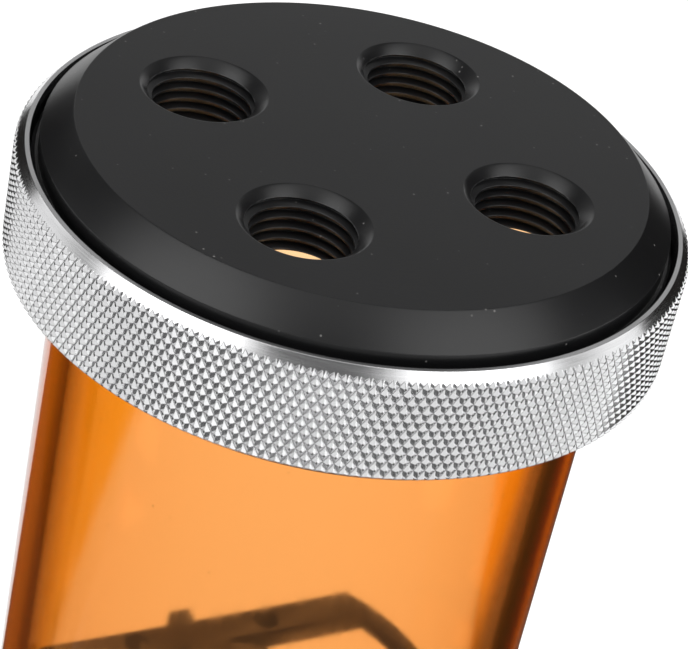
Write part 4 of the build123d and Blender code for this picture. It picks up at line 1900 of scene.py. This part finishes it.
    def floor_tone(self, wiring: Wiring) -> bpy.types.NodeSocket:
        """Say how bright the floor is where gloss shows it.

        Args:
            wiring: Wiring of the floor's material.

        Returns:
            A value's socket.
        """
        where = wiring.object_place()
        far = wiring.add("ShaderNodeVectorMath", operation="LENGTH")
        wiring.link(where, far.inputs[0])
        level = wiring.add("ShaderNodeVectorMath", operation="NORMALIZE")
        wiring.link(where, level.inputs[0])
        distance, toward = far.outputs["Value"], level.outputs["Vector"]
        dimmed = wiring.ramp(wiring.along(toward, self.right), *self.floor_left)
        room = wiring.product(self.room_tone(wiring, toward), dimmed)
        share = wiring.ramp(distance, *self.floor_far)
        tone = wiring.calc("ADD", wiring.calc("SUBTRACT", 1.0, share), wiring.product(room, share))
        ring = wiring.product(
            wiring.ramp(distance, *self.dark_ring_inside),
            wiring.ramp(distance, *self.dark_ring_outside),
            wiring.ramp(wiring.along(toward, self.ahead), *self.dark_ring_in_front),
            self.dark_ring_share,
        )
        return wiring.product(tone, wiring.calc("SUBTRACT", 1.0, ring))

    def build_floor(self) -> None:
        """Lay a plain white floor that keeps the object's shadow."""
        deselect_all()
        bpy.ops.mesh.primitive_plane_add(size=self.floor_size, location=ORIGIN)
        floor = name_new("studio_floor")
        start_edit(floor)
        bpy.ops.mesh.subdivide(number_cuts=1)
        end_edit()
        material, wiring, shader = new_material("studio_floor")
        shader.inputs["Base Color"].default_value = opaque(self.floor_colour)
        shader.inputs["Roughness"].default_value = self.floor_roughness
        shader.inputs["Specular IOR Level"].default_value = 0.0
        ray = wiring.add("ShaderNodeLightPath").outputs
        glossy = wiring.calc("SUBTRACT", ray["Is Glossy Ray"], ray["Is Transmission Ray"], clamp=True)
        seen = wiring.calc("MAXIMUM", ray["Is Camera Ray"], ray["Is Transmission Ray"])
        glow = wiring.add("ShaderNodeEmission")
        wiring.link(wiring.blend(glossy, WHITE, wiring.grey(self.floor_tone(wiring))), glow.inputs["Color"])
        glow.inputs["Strength"].default_value = 1.0
        mix = wiring.add("ShaderNodeMixShader")
        wiring.link(wiring.calc("MAXIMUM", wiring.product(seen, self.floor_glow), glossy), mix.inputs["Fac"])
        wiring.link(shader.outputs[0], mix.inputs[1])
        wiring.link(glow.outputs[0], mix.inputs[2])
        wiring.link(mix.outputs[0], material.node_tree.nodes["Material Output"].inputs["Surface"])
        floor.data.materials.append(material)

    def build_world(self) -> None:
        """Make the background white, and the light that falls from it plain."""
        world = bpy.data.worlds.new("studio")
        bpy.context.scene.world = world
        world.use_nodes = True
        wiring = Wiring(world.node_tree)
        background = world.node_tree.nodes["Background"]
        ray = wiring.add("ShaderNodeLightPath").outputs
        direction = wiring.add("ShaderNodeTexCoord").outputs["Generated"]
        room = wiring.grey(self.room_tone(wiring, direction))
        glossy = wiring.blend(ray["Is Glossy Ray"], (self.room_level,) * 3, room)
        seen = wiring.calc("MAXIMUM", ray["Is Camera Ray"], ray["Is Transmission Ray"])
        wiring.link(wiring.blend(seen, glossy, WHITE), background.inputs["Color"])
        background.inputs["Strength"].default_value = 1.0

    def build_camera(self) -> None:
        """Stand the camera where the photograph was taken from."""
        data = bpy.data.cameras.new("camera")
        data.sensor_width = self.sensor
        data.lens = self.lens
        data.clip_start = self.nearest
        data.clip_end = self.farthest
        camera = add_object("camera", data)
        right = Vector(self.camera_right)
        up = -Vector(self.camera_down)
        back = -Vector(self.camera_forward)
        turn = Matrix((right, up, back)).transposed().to_4x4()
        camera.matrix_world = Matrix.Translation(self.camera_place) @ turn
        bpy.context.scene.camera = camera


def main() -> None:
    """Build the reservoir's pieces and the studio."""
    logging.basicConfig(level=logging.INFO, format="%(name)s: %(message)s")
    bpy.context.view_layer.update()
    finishes = Finishes()
    Studio().build()
    Cap(finishes).build(CapSizes())
    Collars(finishes).build(CollarSizes())
    Tube(finishes).build(TubeSizes())
    SwirlBreaker(finishes).build()
    PumpBlock(finishes).build(BlockSizes())
    PortPlug(finishes).build(PlugSizes())
    Clamp(finishes).build(ScrewSizes())
    Motor(finishes).build()
    Insides(finishes).build()


if __name__ == "__main__":
    main()
